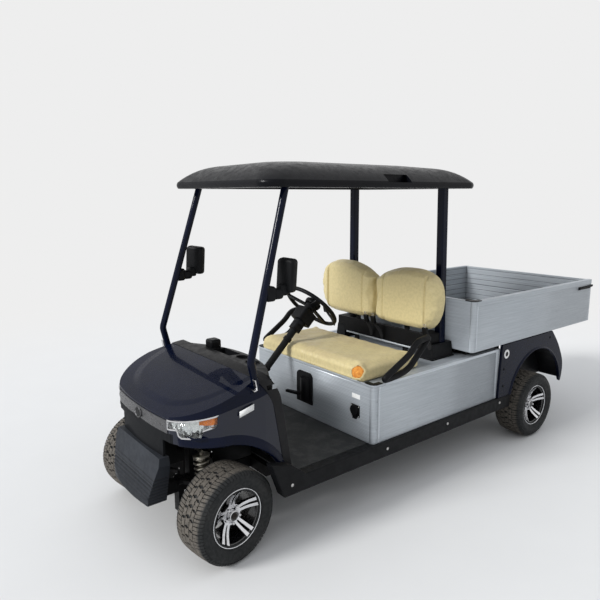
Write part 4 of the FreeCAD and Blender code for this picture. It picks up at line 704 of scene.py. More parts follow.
# Tread rows: middle across the tyre, half width, blocks round it, shift in blocks, zigzag, slant
TREAD_ROWS = (
    (-0.0715, 0.0265, 78, 0.0, 0.001, 0.010), (-0.0300, 0.0120, 62, 0.5, 0.005, -0.004),
    (0.0, 0.0150, 62, 0.0, 0.007, 0.0),
    (0.0300, 0.0120, 62, 0.5, 0.005, 0.004), (0.0715, 0.0265, 78, 0.5, 0.001, -0.010),
)


def tread_blocks():
    """Zigzag tread blocks in five rows on the carcass, the outer ones long lugs over the shoulders."""
    verts, faces = [], []
    slices = 4
    for middle, half, count, shift, zigzag, slant in TREAD_ROWS:
        pitch = 2 * math.pi / count
        for index in range(count):
            centre = (index + shift) * pitch
            base = len(verts)
            for across in range(slices + 1):
                share = across / slices
                x = middle + half * (2 * share - 1)
                kink = zigzag * (1 - abs(2 * share - 1)) * (1 if index % 2 else -1) / TYRE_RADIUS
                lean = slant * (share - 0.5) / TYRE_RADIUS
                spread = pitch * (0.41 + 0.03 * (index % 3 - 1))
                for edge in (-1, 1):
                    angle = centre + kink + lean + edge * spread
                    for drop, inset in ((0.009, 0.0), (0.0012, 0.0), (0.0, 0.0011)):
                        radius = crown(x) - drop
                        turn = angle - inset / TYRE_RADIUS * edge
                        edge_x = x + inset * (1 if share == 0 else -1 if share == 1 else 0)
                        verts.append((edge_x, -radius * math.sin(turn), radius * math.cos(turn)))
            for across in range(slices):
                here, there = base + across * 6, base + (across + 1) * 6
                faces.append((here + 2, there + 2, there + 5, here + 5))
                for level in (0, 1):
                    faces.append((here + level, there + level, there + level + 1, here + level + 1))
                    faces.append((here + 3 + level, here + 4 + level, there + 4 + level, there + 3 + level))
            for end in (base, base + slices * 6):
                faces.append((end, end + 1, end + 4, end + 3))
                faces.append((end + 1, end + 2, end + 5, end + 4))
    return verts, faces


def spoke_pair():
    """Two diverging bars that are one at the hub, with bright bevelled faces, bowed out to the lip."""
    # Stations: distance out, height of the face, depth, middle of each bar and half its width
    stations = ((0.030, 0.040, 0.016, 0.0090, 0.0092), (0.048, 0.043, 0.018, 0.0092, 0.0090),
                (0.054, 0.0445, 0.019, 0.0108, 0.0074), (0.075, 0.052, 0.020, 0.0125, 0.0078),
                (0.098, 0.065, 0.020, 0.0145, 0.0083), (0.116, 0.079, 0.018, 0.0160, 0.0088),
                (0.1275, 0.088, 0.016, 0.0170, 0.0098))
    verts, faces, marks = [], [], []
    for side in (-1, 1):
        start = len(verts)
        for out, face, depth, middle, half in stations:
            inner, outer = side * (middle - half), side * (middle + half)
            fall, inset = face - 0.0015, side * 0.0013
            section = ((face - depth, inner), (fall, inner), (face, inner + inset), (face, outer - inset),
                       (fall, outer), (face - depth, outer))
            verts += [(x, y, out) for x, y in section]
        for row in range(len(stations) - 1):
            here, there = start + row * 6, start + (row + 1) * 6
            for edge in range(6):
                after = (edge + 1) % 6
                faces.append((here + edge, here + after, there + after, there + edge))
                marks.append(0 if edge in (1, 2, 3) else 1)
        faces += [tuple(range(start + 5, start - 1, -1)), tuple(range(there, there + 6))]
        marks += [1, 1]
    return verts, faces, marks


def rim_parts():
    """Barrel, lip, hub, five double spokes, nuts, cap and valve. Marks: 0 bright, 1 black, 2 chrome."""
    half = RIM_WIDTH / 2
    well = RIM_RADIUS - 0.021
    back = 0.007 - half
    barrel = [(half, RIM_RADIUS - 0.001), (half + 0.001, RIM_RADIUS - 0.0025), (half, RIM_RADIUS - 0.0055),
              (half - 0.004, RIM_RADIUS - 0.008), (half - 0.012, well + 0.003), (half * 0.3, well),
              (-half * 0.6, well), (-half, well + 0.004), (-half, RIM_RADIUS - 0.001),
              (back, RIM_RADIUS - 0.001), (back, RIM_RADIUS - 0.014), (-back, RIM_RADIUS - 0.014),
              (-back, RIM_RADIUS - 0.001)]
    hub = [(0.014, 0.054), (0.038, 0.054), (0.042, 0.051), (0.0405, 0.034), (0.036, 0.031), (0.014, 0.031)]
    cap = [(0.030, 0.0285), (0.056, 0.0285), (0.0595, 0.0265), (0.061, 0.0225), (0.0595, 0.021),
           (0.0605, 0.012), (0.061, 0.0005)]
    nut = [(0.034, 0.0085), (0.042, 0.0085), (0.044, 0.0078), (0.055, 0.0078), (0.0575, 0.0055),
           (0.0575, 0.0003)]
    stem = [(0.058, 0.0042), (0.082, 0.0042), (0.084, 0.0036), (0.094, 0.0036), (0.095, 0.0002)]
    forms = [turned(barrel, 96, closed=True, marks=[0] * 2 + [1] * (len(barrel) - 2))]
    for spoke in range(SPOKES):
        forms.append(moved(spoke_pair(), Matrix.Rotation(2 * math.pi * spoke / SPOKES, 4, "X")))
    forms.append(turned(hub, 60, closed=True, marks=[1, 1, 0, 1, 1, 1]))
    forms.append(turned(cap, 40, marks=[2, 2, 2, 1, 1, 1]))
    for index in range(SPOKES):
        angle = 2 * math.pi * (index + 0.5) / SPOKES
        place = (0, -NUT_CIRCLE * math.sin(angle), NUT_CIRCLE * math.cos(angle))
        forms.append(moved(turned(nut, 6, marks=[2]), Matrix.Translation(place)))
    lean = Matrix.Translation((0, 0.0, -well + 0.012)) @ Matrix.Rotation(math.radians(20), 4, "Y")
    forms.append(moved(turned(stem, 12, marks=[1]), lean))
    return joined(forms)


SPOKES = 5
NUT_CIRCLE = 0.0415


def make_wheels():
    """Each wheel's treaded tyre and its rim, at the wheel's place and turn."""
    tyre_form = joined([tyre_carcass(), tread_blocks()])
    rim_form = rim_parts()
    rim_looks = [LOOKS["alloy_rim"], RIM_BLACK, NUT_CHROME]
    for place, centre, turn in wheel_places():
        body = "wheel_" + place
        stand = Matrix.Translation(centre) @ Matrix.Rotation(turn, 4, "Z")
        tyre = piece("tread_" + place, tyre_form, LOOKS["tyre_rubber"], 30, body=body)
        rim = piece("alloy_" + place, rim_form, rim_looks, 30, body=body)
        for made, node in ((tyre, "tyre_" + place), (rim, "rim_" + place)):
            made.matrix_world = stand
            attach(made, body)
            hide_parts(node)


# Seat

def swollen(made, voxel, pinned):
    """The piece after a cloth simulation under pressure, with no point moved further than SWELL_CAP."""
    remesh = made.modifiers.new("remesh", "REMESH")
    remesh.mode = "VOXEL"
    remesh.voxel_size = voxel
    settle(made)
    start = [vert.co.copy() for vert in made.data.vertices]
    swell(made, pinned)
    for vert, before in zip(made.data.vertices, start):
        shift = vert.co - before
        if shift.length > SWELL_CAP:
            vert.co = before + shift * (SWELL_CAP / shift.length)
    smooth = made.modifiers.new("smooth", "SMOOTH")
    smooth.iterations = 10
    finer = made.modifiers.new("finer", "SUBSURF")
    finer.levels = 1
    finer.render_levels = 1
    settle(made)


def swell(made, pinned):
    """Twenty steps of cloth blown up from inside, held where pinned says so."""
    group = made.vertex_groups.new(name="pinned")
    group.add([vert.index for vert in made.data.vertices if pinned(vert.co)], 1.0, "REPLACE")
    cloth = made.modifiers.new("swell", "CLOTH")
    cloth.settings.quality = 4
    cloth.settings.mass = 0.4
    cloth.settings.use_pressure = True
    cloth.settings.uniform_pressure_force = 4.0
    cloth.settings.tension_stiffness = 18
    cloth.settings.compression_stiffness = 18
    cloth.settings.bending_stiffness = 6
    cloth.settings.effector_weights.gravity = 0
    cloth.settings.vertex_group_mass = "pinned"
    cloth.point_cache.frame_start = 1
    cloth.point_cache.frame_end = SWELL_STEPS
    for step in range(1, SWELL_STEPS + 1):
        scene.frame_set(step)
        bpy.context.view_layer.update()
    settle(made)
    scene.frame_set(1)


SWELL_CAP = 0.016
SWELL_STEPS = 20


def settle(made):
    """The piece's mesh with its modifiers applied."""
    depsgraph = bpy.context.evaluated_depsgraph_get()
    result = bpy.data.meshes.new_from_object(made.evaluated_get(depsgraph))
    made.modifiers.clear()
    old = made.data
    made.data = result
    bpy.data.meshes.remove(old)


def sculpted(made, change):
    """Vertex moves in code: change gives each point's shift."""
    for vert in made.data.vertices:
        vert.co += change(vert.co)


def bump_at(value, middle, width):
    """A smooth hump that is 1 at its middle and fades over a width."""
    return math.exp(-((value - middle) / width) ** 2)


def back_outline(sign, inset):
    """A back lobe's outline, drawn in by an inset."""
    half = BACK_HIGH.x
    middle, centre = half / 2, BACK_LOW.z + 0.19
    shrink = 1 - inset / 0.19
    points = []
    for x, rise in LOBE:
        across = max(middle + (x * half - middle) * shrink, MIDDLE_SEAM)
        points.append((sign * across, centre + (BACK_LOW.z + 0.004 + rise - centre) * shrink))
    return points


MIDDLE_SEAM = 0.0015
# A lobe's outline from the notch over the top and round the foot: share of the half width, rise over the foot
LOBE = (
    (0.003, 0.284), (0.038, 0.296), (0.091, 0.313), (0.151, 0.331), (0.224, 0.347), (0.302, 0.360),
    (0.383, 0.369), (0.462, 0.375), (0.538, 0.377), (0.613, 0.377), (0.689, 0.374), (0.758, 0.368),
    (0.823, 0.358), (0.875, 0.345), (0.921, 0.328), (0.955, 0.306), (0.979, 0.280), (0.994, 0.250),
    (1.0, 0.215), (0.998, 0.178), (0.991, 0.143), (0.974, 0.108), (0.949, 0.076), (0.915, 0.047),
    (0.872, 0.024), (0.819, 0.009), (0.745, 0.002), (0.660, 0.0), (0.547, 0.0), (0.434, 0.0),
    (0.321, 0.0), (0.217, 0.002), (0.142, 0.006), (0.085, 0.013), (0.042, 0.026), (0.015, 0.045),
    (0.003, 0.070),
)


def make_seat_back():
    """Two swollen lobes that meet at the middle, with upright seams and a black shell behind them."""
    front, rear = BACK_LOW.y, BACK_HIGH.y

    def lobe_and_shell(side, sign):
        outline = back_outline(sign, -0.005)
        form = lofted([upright(outline, front + 0.012), upright(outline, rear - 0.012)])
        lobe = piece("back_lobe_" + side, form, VINYL, 60)
        swollen(lobe, 0.007, lambda spot: spot.y > rear - 0.016)
        sculpted(lobe, lambda spot: back_shaping(spot, sign, front, rear))
        lobe.data.shade_smooth()
        if sign > 0:
            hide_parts("seat_back")
        outline = back_outline(sign, 0.008)
        form = lofted([upright(outline, rear - 0.014), upright(outline, rear - 0.001)])
        rounded("back_shell_" + side, form, CAP_BLACK, 0.003, 3, sharp=50)
    both_sides(lobe_and_shell)


def back_shaping(spot, sign, front, rear):
    """A lobe's belly, the seams sewn into its front with a puffed edge, and the tuck at the middle."""
    share = max(0.0, min(1.0, (rear - spot.y) / (rear - front)))
    pull = 0.012 * bump_at(spot.x, sign * SEAM_OUTER, 0.006)
    pull += 0.009 * bump_at(spot.x, sign * SEAM_INNER, 0.006)
    pull += 0.012 * bump_at(spot.x, 0, 0.028)
    edge = 0.004 * bump_at(spot.x, sign * (SEAM_OUTER + 0.016), 0.008)
    half_way = (BACK_LOW.z + BACK_HIGH.z) / 2
    belly = 0.005 * bump_at(spot.x, sign * 0.27, 0.16) * bump_at(spot.z, half_way, 0.12)
    return Vector((0, (pull - edge - belly) * share, 0))


SEAM_OUTER = 0.440
SEAM_INNER = 0.095


def make_cushion():
    """The bench cushion, swollen, with gathers along its front edge."""
    low, high = CUSHION_LOW, CUSHION_HIGH
    inset = 0.006
    form = block((low.x + inset, low.y + inset, low.z), (high.x - inset, high.y - inset, high.z - 0.008))
    made = rounded("bench_cushion", form, VINYL, 0.026, 5, sharp=60)
    swollen(made, 0.009, lambda spot: spot.z < low.z + 0.008)
    sculpted(made, cushion_shaping)
    for vert in made.data.vertices:
        vert.co.z = max(vert.co.z, low.z)
    made.data.shade_smooth()
    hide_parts("seat_cushion")


def cushion_shaping(spot):
    """Gathers at the front edge, the seat's hollows and slight ripples."""
    low, high = CUSHION_LOW, CUSHION_HIGH
    front = bump_at(spot.y, low.y + 0.01, 0.045)
    folds = sum(bump_at(spot.x, place, 0.006) * depth for place, depth in PLEATS)
    ripple = 0.0012 * math.sin(spot.x * 60) * math.sin(spot.y * 37)
    middle = bump_at(spot.y, (low.y + high.y) / 2, 0.16)
    dish = -0.007 * (bump_at(spot.x, 0.25, 0.15) + bump_at(spot.x, -0.25, 0.15)) * middle
    above = max(0.0, min(1.0, (spot.z - low.z) / 0.08))
    return Vector((0, front * folds, (ripple + dish) * above - front * folds * 0.5))


# Gathers along the cushion's front edge: place across the cart and depth
PLEATS = (
    (-0.30, 0.003), (-0.055, 0.005), (-0.03, 0.003), (0.03, 0.004), (0.085, 0.005), (0.32, 0.003),
    (0.41, 0.004),
)


def make_torn_patch():
    """A round hole worn in the cushion's front corner, with foam in it and a curled vinyl edge."""
    outward = Vector((0.30, -0.80, 0.52)).normalized()
    place = Vector((CUSHION_HIGH.x - 0.050, CUSHION_LOW.y + 0.016, CUSHION_HIGH.z - 0.034))
    stand = aimed(place, outward)
    foam = [(-0.014, 0.038), (0.001, 0.036), (0.006, 0.029), (0.009, 0.016), (0.0095, 0.0005)]
    verts, faces, _ = turned(foam, 40)
    lumpy = [Vector(vert) * (1 + 0.09 * noise.noise(Vector(vert) * 60)) for vert in verts]
    piece("torn_foam", moved((lumpy, faces), stand), FOAM, 80)
    edge = [(-0.006, 0.036), (0.002, 0.035), (0.0055, 0.037), (0.004, 0.040), (0.0005, 0.044),
            (-0.008, 0.046)]
    verts, faces, _ = turned(edge, 40, closed=True)
    curled = []
    for vert in verts:
        angle = math.atan2(vert[1], vert[2])
        curled.append(Vector(vert) * (1 + 0.05 * math.sin(angle * 5) + 0.03 * math.sin(angle * 11)))
    piece("torn_edge", moved((curled, faces), stand), VINYL, 80)


# Lamps, band, mirrors and armrests

def outer_skin(node, toward, lift, name, look, depth):
    """A shell from the faces of a CAD node that look away from a point, lifted off them."""
    def faces_away(face):
        return face.normal.dot((face.calc_center_median() - toward).normalized()) >= 0.55

    sheet = bmesh.new()
    sheet.from_mesh(frame["nodes"][node].data)
    bmesh.ops.remove_doubles(sheet, verts=sheet.verts, dist=0.00003)
    inside = [face for face in sheet.faces if not faces_away(face)]
    bmesh.ops.delete(sheet, geom=inside, context="FACES")
    sheet.normal_update()
    for vert in sheet.verts:
        vert.co += vert.normal * lift
    mesh = bpy.data.meshes.new(name)
    sheet.to_mesh(mesh)
    sheet.free()
    return thickened(finished(mesh, name, look, 40), depth, -1)


def make_lamps():
    """Clear lens over a faceted reflector with its bulb bowl, held in a chrome surround."""
    bowl = [(-0.012, 0.008), (-0.010, 0.012), (0.000, 0.024), (0.006, 0.030), (0.0075, 0.0315),
            (0.006, 0.033), (-0.008, 0.033)]
    bulb = [(-0.012, 0.006), (0.000, 0.007), (0.006, 0.006), (0.008, 0.003), (0.0085, 0.0003)]
    bowl_form = joined([turned(bowl, 32, closed=True), turned(bulb, 20, marks=[1])])

    def lamp(side, sign):
        node = "headlamp_" + side
        inner_point = Vector((sign * 0.20, -1.30, LAMP_HEIGHT))
        lens = outer_skin(node, inner_point, -0.0005, "lens_" + side, LOOKS["lamp_glass"], 0.002)
        outer_skin(node, inner_point, -0.012, "reflector_" + side, REFLECTOR, 0.004)
        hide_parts(node)
        make_lamp_surround(lens, "lamp_surround_" + side)
        x, y, z = BULB_PLACE
        ahead = (sign * BULB_FACING[0], *BULB_FACING[1:])
        stand = aimed((sign * x, y, z), ahead)
        piece("lamp_bowl_" + side, moved(bowl_form, stand), [NUT_CHROME, LABEL_WHITE], 40, "lamp_glass")
    both_sides(lamp)


def make_lamp_surround(lens, name):
    """Bright rim along the lens's border, from a little in front of it back into the body."""
    sheet = bmesh.new()
    sheet.from_mesh(lens.data)
    sheet.normal_update()
    border = [edge for edge in sheet.edges if edge.is_boundary]
    corners = list({vert for edge in border for vert in edge.verts})
    middle = sum((vert.co for vert in corners), Vector()) / len(corners)
    heart = middle.lerp(Vector((0, -1.2, LAMP_HEIGHT)), 0.6)
    verts, faces, spots = [], [], {}
    for vert in corners:
        outward = vert.normal if vert.normal.dot(vert.co - heart) > 0 else -vert.normal
        ends = [edge.other_vert(vert).co for edge in vert.link_edges if edge.is_boundary]
        along = (ends[0] - ends[-1]).normalized() if len(ends) > 1 else Vector((1, 0, 0))
        aside = along.cross(outward).normalized()
        if aside.dot(vert.co - middle) < 0:
            aside = -aside
        spots[vert] = len(verts)
        verts += [vert.co + outward * rise + aside * reach for rise, reach in SURROUND]
    count = len(SURROUND)
    for edge in border:
        first, second = (spots[vert] for vert in edge.verts)
        for i in range(count):
            after = (i + 1) % count
            faces.append((first + i, second + i, second + after, first + after))
    sheet.free()
    piece(name, (verts, faces), LOOKS["chrome_band"], 50)


LAMP_HEIGHT = 0.68
BULB_PLACE, BULB_FACING = (0.366, -1.652, 0.662), (0.42, -0.88, 0.12)
# The surround's section: how far each point stands off the lens and outside its border
SURROUND = ((0.0012, 0.001), (0.0022, -0.003), (0.0012, -0.0065), (-0.016, -0.009), (-0.018, 0.0))


def make_nose_oval():
    """Plain oval boss in the middle of the band."""
    profile = [(-0.004, 0.028), (0.004, 0.028), (0.0055, 0.0262), (0.0045, 0.0235), (0.0030, 0.0225),
               (0.0040, 0.010), (0.0042, 0.0003)]
    stand = aimed((0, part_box("nose_band")[0].y + 0.001, 0.664), (0, -1, 0.06))
    form = moved(turned(profile, 48, marks=[0, 0, 0, 0, 1, 1]), stand @ Matrix.Diagonal((1, 1.35, 1, 1)))
    piece("nose_oval", form, [NODE_LOOKS["nose_band"], CAP_BLACK], 40, "chrome_band")


def rounded_outline(width, height, corner, steps=6):
    """The points of a rounded rectangle about the origin."""
    points = []
    for turn, (side, rise) in enumerate(((1, 1), (-1, 1), (-1, -1), (1, -1))):
        for step in range(steps + 1):
            angle = math.radians(90 * turn + 90 * step / steps)
            points.append((side * (width / 2 - corner) + corner * math.cos(angle),
                           rise * (height / 2 - corner) + corner * math.sin(angle)))
    return points


def make_mirrors():
    """Moulded mirror cases turned a little towards the left, on short clamped arms."""
    for side, (x, y, z, turn, width) in MIRRORS.items():
        stand = Matrix.Translation((x, y, z)) @ Matrix.Rotation(math.radians(turn), 4, "Z")
        stand = stand @ Matrix.Rotation(math.radians(4), 4, "Y")
        sections = []
        for depth, shrink in MIRROR_CASE:
            outline = rounded_outline(width - 2 * shrink, MIRROR_HEIGHT - 2 * shrink, 0.019 - shrink * 0.5)
            sections.append(upright(outline, depth))
        case = piece("mirror_case_" + side, moved(lofted(sections), stand), MOULDED_BLACK, 50)
        outline = rounded_outline(width - 0.016, MIRROR_HEIGHT - 0.016, 0.020)
        glass = lofted([upright(outline, depth) for depth in (0.0205, 0.0226)])
        piece("mirror_glass_" + side, moved(glass, stand), MIRROR_GLASS, 40)
        for name, half, front, rear, foot, top, edge in MIRROR_ARM:
            form = block((x - half, y - front, z - foot), (x + half, y - rear, z - top))
            rounded(f"mirror_{name}_{side}", form, MOULDED_BLACK, edge, 4)
        if side == "left":
            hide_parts("mirrors")


# Each mirror's centre, turn in degrees and width
MIRRORS = {"left": (0.448, -1.127, 1.354, 20, 0.096), "right": (-0.474, -1.127, 1.350, 27, 0.112)}
MIRROR_HEIGHT = 0.168
# The case's sections: place through it, and how far its outline shrinks there
MIRROR_CASE = (
    (-0.0235, 0.016), (-0.0225, 0.009), (-0.019, 0.004), (-0.008, 0.001), (0.012, 0.0), (0.0205, 0.001),
    (0.022, 0.004),
)
# The arm's blocks: half width, how far front and rear lie ahead of the mirror's centre and foot and top under
# it, and the width of the rounded edges
MIRROR_ARM = (
    ("clamp", 0.027, 0.134, 0.080, 0.118, 0.044, 0.014),
    ("knuckle", 0.024, 0.092, 0.030, 0.112, 0.058, 0.016),
    ("neck", 0.022, 0.052, 0.002, 0.098, 0.040, 0.012),
)


def bend_at(corner, first, last):
    """Points on a short curve from the first point to the last that bends towards the corner."""
    shares = [step / 6 for step in range(7)]
    return [first.lerp(corner, share).lerp(corner.lerp(last, share), share) for share in shares]


def swept(path, radius, bend, steps=20):
    """A round tube along a closed path of corners, bent at each with a radius."""
    corners = [Vector(corner) for corner in path]
    spots = []
    for index, corner in enumerate(corners):
        into, out = corners[index - 1] - corner, corners[(index + 1) % len(corners)] - corner
        reach = min(bend, into.length * 0.45, out.length * 0.45)
        spots += bend_at(corner, corner + into.normalized() * reach, corner + out.normalized() * reach)
    verts = []
    normal = Vector((1, 0, 0))
    for index, spot in enumerate(spots):
        along = (spots[(index + 1) % len(spots)] - spots[index - 1]).normalized()
        normal = (normal - along * normal.dot(along)).normalized()
        aside = along.cross(normal)
        for turn in (2 * math.pi * step / steps for step in range(steps)):
            verts.append(spot + normal * (radius * math.cos(turn)) + aside * (radius * math.sin(turn)))
    return verts, banded(len(spots), steps, closed=True)


def make_armrests():
    """Padded hip restraints: a broad top bar that dips to its foot, and a bar back along the deck."""
    def armrest(side, sign):
        path = []
        for inset, back, rise in ARMREST:
            path.append((sign * (BOX_HIGH.x - inset), BACK_LOW.y + back, DECK_TOP + rise))
        form = swept(path, ARMREST_RADIUS, ARMREST_BEND)
        made = piece("hip_restraint_" + side, form, MOULDED_BLACK, 60)
        if sign > 0:
            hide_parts("armrests")
    both_sides(armrest)


ARMREST_RADIUS, ARMREST_BEND = 0.0185, 0.05
# Each corner of an armrest: its distance in from the side, place from the seat back and rise over the deck
ARMREST = (
    (-0.016, -0.110, 0.213), (-0.028, -0.236, 0.203), (-0.030, -0.292, 0.142), (-0.012, -0.500, 0.022),
    (0.000, -0.400, 0.019), (-0.002, -0.275, 0.040), (-0.014, -0.165, 0.158),
)


# Dash

def dash_depth(x):
    """How far the shelf reaches behind the cowl's edge: bowed, deepest at the middle."""
    share = min(1.0, abs(x) / DASH_END)
    bow = math.sqrt(DASH_BOW ** 2 - (share * DASH_END) ** 2) - DASH_CHORD
    return DASH_SAG * bow / (DASH_BOW - DASH_CHORD) + 0.004


def dash_forms(cowl, top, foot):
    """The bowed shelf and, over its middle, the apron that slopes down from it."""
    shelf, apron = [], []
    for index in range(49):
        x = DASH_END * (index / 24 - 1)
        rear = cowl + dash_depth(x)
        edge = max(rear, cowl + 0.024)
        profile = ((cowl + 0.0125, top - 0.001), (edge - 0.008, top - 0.0125), (edge - 0.002, top - 0.016),
                   (edge, top - 0.022), (edge, top - 0.066), (edge - 0.006, top - 0.072),
                   (min(cowl + 0.046, edge - 0.008), top - 0.072))
        shelf.append([(x, y, z) for y, z in profile])
        if abs(x) < APRON_HALF:
            rear = max(rear, cowl + 0.085)
            profile = ((cowl + 0.046, top - 0.070), (rear - 0.012, top - 0.070), (rear - 0.020, foot + 0.045),
                       (max(rear - 0.12, cowl + 0.060), foot), (cowl + 0.052, foot))
            apron.append([(x, y, z) for y, z in profile])
    return lofted(shelf), lofted(apron)


def hollowed(made, forms):
    """The piece with forms cut out of it."""
    cutters = []
    for index, (verts, faces, *_) in enumerate(forms):
        mesh = bpy.data.meshes.new(f"cutter_{index}")
        mesh.from_pydata([tuple(vert) for vert in verts], [], faces)
        face_outward(mesh)
        cutters.append(bpy.data.objects.new(mesh.name, mesh))
        scene.collection.objects.link(cutters[-1])
        hollow = made.modifiers.new("hollow", "BOOLEAN")
        hollow.operation = "DIFFERENCE"
        hollow.solver = "EXACT"
        hollow.object = cutters[-1]
    settle(made)
    for each in cutters:
        bpy.data.objects.remove(each)


def make_dash():
    """Bowed shelf behind the hood with two cup wells, a tray and a switch pod, over a sloping apron."""
    low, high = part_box("dash")
    cowl = high.y - 0.190
    top = high.z
    shelf_form, apron_form = dash_forms(cowl, top, low.z)
    shelf = piece("dash_shelf", shelf_form, MOULDED_BLACK, 40)
    well = turned([(-0.056, 0.036), (0.06, 0.038)], 40)
    wells = [moved(well, aimed((x, cowl + behind, top), (0, 0, 1))) for x, behind in CUP_PLACES]
    tray = block((TRAY_LOW[0], cowl + TRAY_LOW[1], top - 0.055),
                 (TRAY_HIGH[0], cowl + TRAY_HIGH[1], top + 0.05))
    hollowed(shelf, wells + [tray])
    shelf.data.set_sharp_from_angle(angle=math.radians(35))
    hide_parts("dash")
    rounded("dash_apron", apron_form, MOULDED_BLACK, 0.004, 3, sharp=40)
    ring = [(-0.008, 0.0375), (-0.001, 0.0372), (0.0015, 0.0385), (0.0018, 0.0405), (0.0005, 0.0425),
            (-0.008, 0.0425)]
    for index, (x, behind) in enumerate(CUP_PLACES):
        slope = aimed((x, cowl + behind, top - 0.001 - (behind - 0.0125) / 0.165 * 0.0115), (0, 0.07, 1))
        form = moved(turned(ring, 40, closed=True), slope)
        piece(f"cup_ring_{index}", form, LOOKS["trim_plastic"], 40, "black_plastic")
    pod = block((-0.262, cowl + 0.062, top - 0.030), (-0.186, cowl + 0.132, top + 0.040))
    rounded("switch_pod", pod, CAP_BLACK, 0.014, 4)
    key = [(-0.004, 0.012), (0.004, 0.012), (0.006, 0.010), (0.006, 0.0035), (0.018, 0.0035), (0.018, 0.0004)]
    stand = aimed((-0.224, cowl + 0.130, top + 0.012), (0, 0.9, 0.4))
    piece("key_switch", moved(turned(key, 24), stand), NUT_CHROME, 40)


# The dash's half width, its bow's radius and depth at the middle, and its cups
DASH_END = 0.462
DASH_BOW = 0.695
DASH_CHORD = math.sqrt(DASH_BOW ** 2 - DASH_END ** 2)
DASH_SAG = 0.174
CUP_PLACES = ((0.070, 0.112), (0.190, 0.095))
TRAY_LOW, TRAY_HIGH = (-0.170, 0.060), (0.012, 0.140)
APRON_HALF = 0.42


# Body panels

def ribbed(low, high, pitch=PLANK_RIBS, deep=0.0009):
    """A profile of (rise, lift) points with fine rounded ribs between two heights."""
    points = [(low, 0.0)]
    rib = ((0.0, 0.0), (0.2, deep), (0.65, deep), (0.85, 0.0))
    for index in range(int((high - low) / pitch)):
        start = low + (index + 0.1) * pitch
        points += [(start + pitch * share, out) for share, out in rib]
    return points + [(high, 0.0)]


def plank_skin(name, plane, sign, ends, heights, facing_ahead=False):
    """One finely ribbed face in a plane across the cart or, where it faces ahead, along it."""
    lift = 0.0004
    profile = ribbed(*heights)
    verts = []
    for along in ends:
        for rise, out in profile:
            spot = plane + sign * (lift + out)
            verts.append((along, spot, rise) if facing_ahead else (spot, along, rise))
    count = len(profile)
    faces = [(i, i + 1, count + i + 1, count + i) for i in range(count - 1)]
    thickened(piece("planks_" + name, (verts, faces), LOOKS["ribbed_aluminium"], 25), 0.0003, 0)


def make_plank_skins():
    """Finely ribbed outer faces over the box's and the bed's planks."""
    gap = 0.002
    box_heights = (BOX_LOW.z + gap, BOX_HIGH.z - gap)
    box_reach, bed_reach = BOX_HIGH.x - 0.027, BED_HIGH.x - 0.03
    plank_skin("box_front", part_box("seat_box_front")[0].y, -1, (-box_reach, box_reach), box_heights, True)
    bed_heights = (BED_LOW.z + gap, BED_HIGH.z - gap)
    plank_skin("bed_front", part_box("bed_front")[0].y, -1, (-bed_reach, bed_reach), bed_heights, True)

    def sides(side, sign):
        ends = (BOX_LOW.y + 0.012, BOX_HIGH.y - 0.046)
        plank_skin("box_" + side, sign * BOX_HIGH.x, sign, ends, box_heights)
        ends = (BED_LOW.y + 0.004, BED_HIGH.y - 0.030)
        heights = (BED_LOW.z + gap, BED_HIGH.z - 0.036)
        plank_skin("bed_" + side, sign * (BED_HIGH.x - gap), sign, ends, heights)
    both_sides(sides)


def arc_through(first, middle, last, steps):
    """Points on the circle through three points, from the first to the last."""
    (ax, ay), (bx, by), (cx, cy) = first, middle, last
    d = 2 * (ax * (by - cy) + bx * (cy - ay) + cx * (ay - by))
    a_square, b_square, c_square = ax ** 2 + ay ** 2, bx ** 2 + by ** 2, cx ** 2 + cy ** 2
    x = (a_square * (by - cy) + b_square * (cy - ay) + c_square * (ay - by)) / d
    y = (a_square * (cx - bx) + b_square * (ax - cx) + c_square * (bx - ax)) / d
    radius = math.hypot(ax - x, ay - y)
    start, end = math.atan2(ay - y, ax - x), math.atan2(cy - y, cx - x)
    if end > start:
        end -= 2 * math.pi
    angles = [start + (end - start) * i / steps for i in range(steps + 1)]
    return [(x + radius * math.cos(angle), y + radius * math.sin(angle)) for angle in angles]


def softened(corners, reach):
    """The inner corners of an open path, each replaced by a short curve."""
    points = []
    for before, corner, after in zip(corners, corners[1:], corners[2:]):
        corner = Vector(corner)
        into, out = Vector(before) - corner, Vector(after) - corner
        first = corner + into.normalized() * min(reach, into.length * 0.48)
        last = corner + out.normalized() * min(reach, out.length * 0.48)
        points += [tuple(spot) for spot in bend_at(corner, first, last)]
    return [tuple(corners[0])] + points + [tuple(corners[-1])]


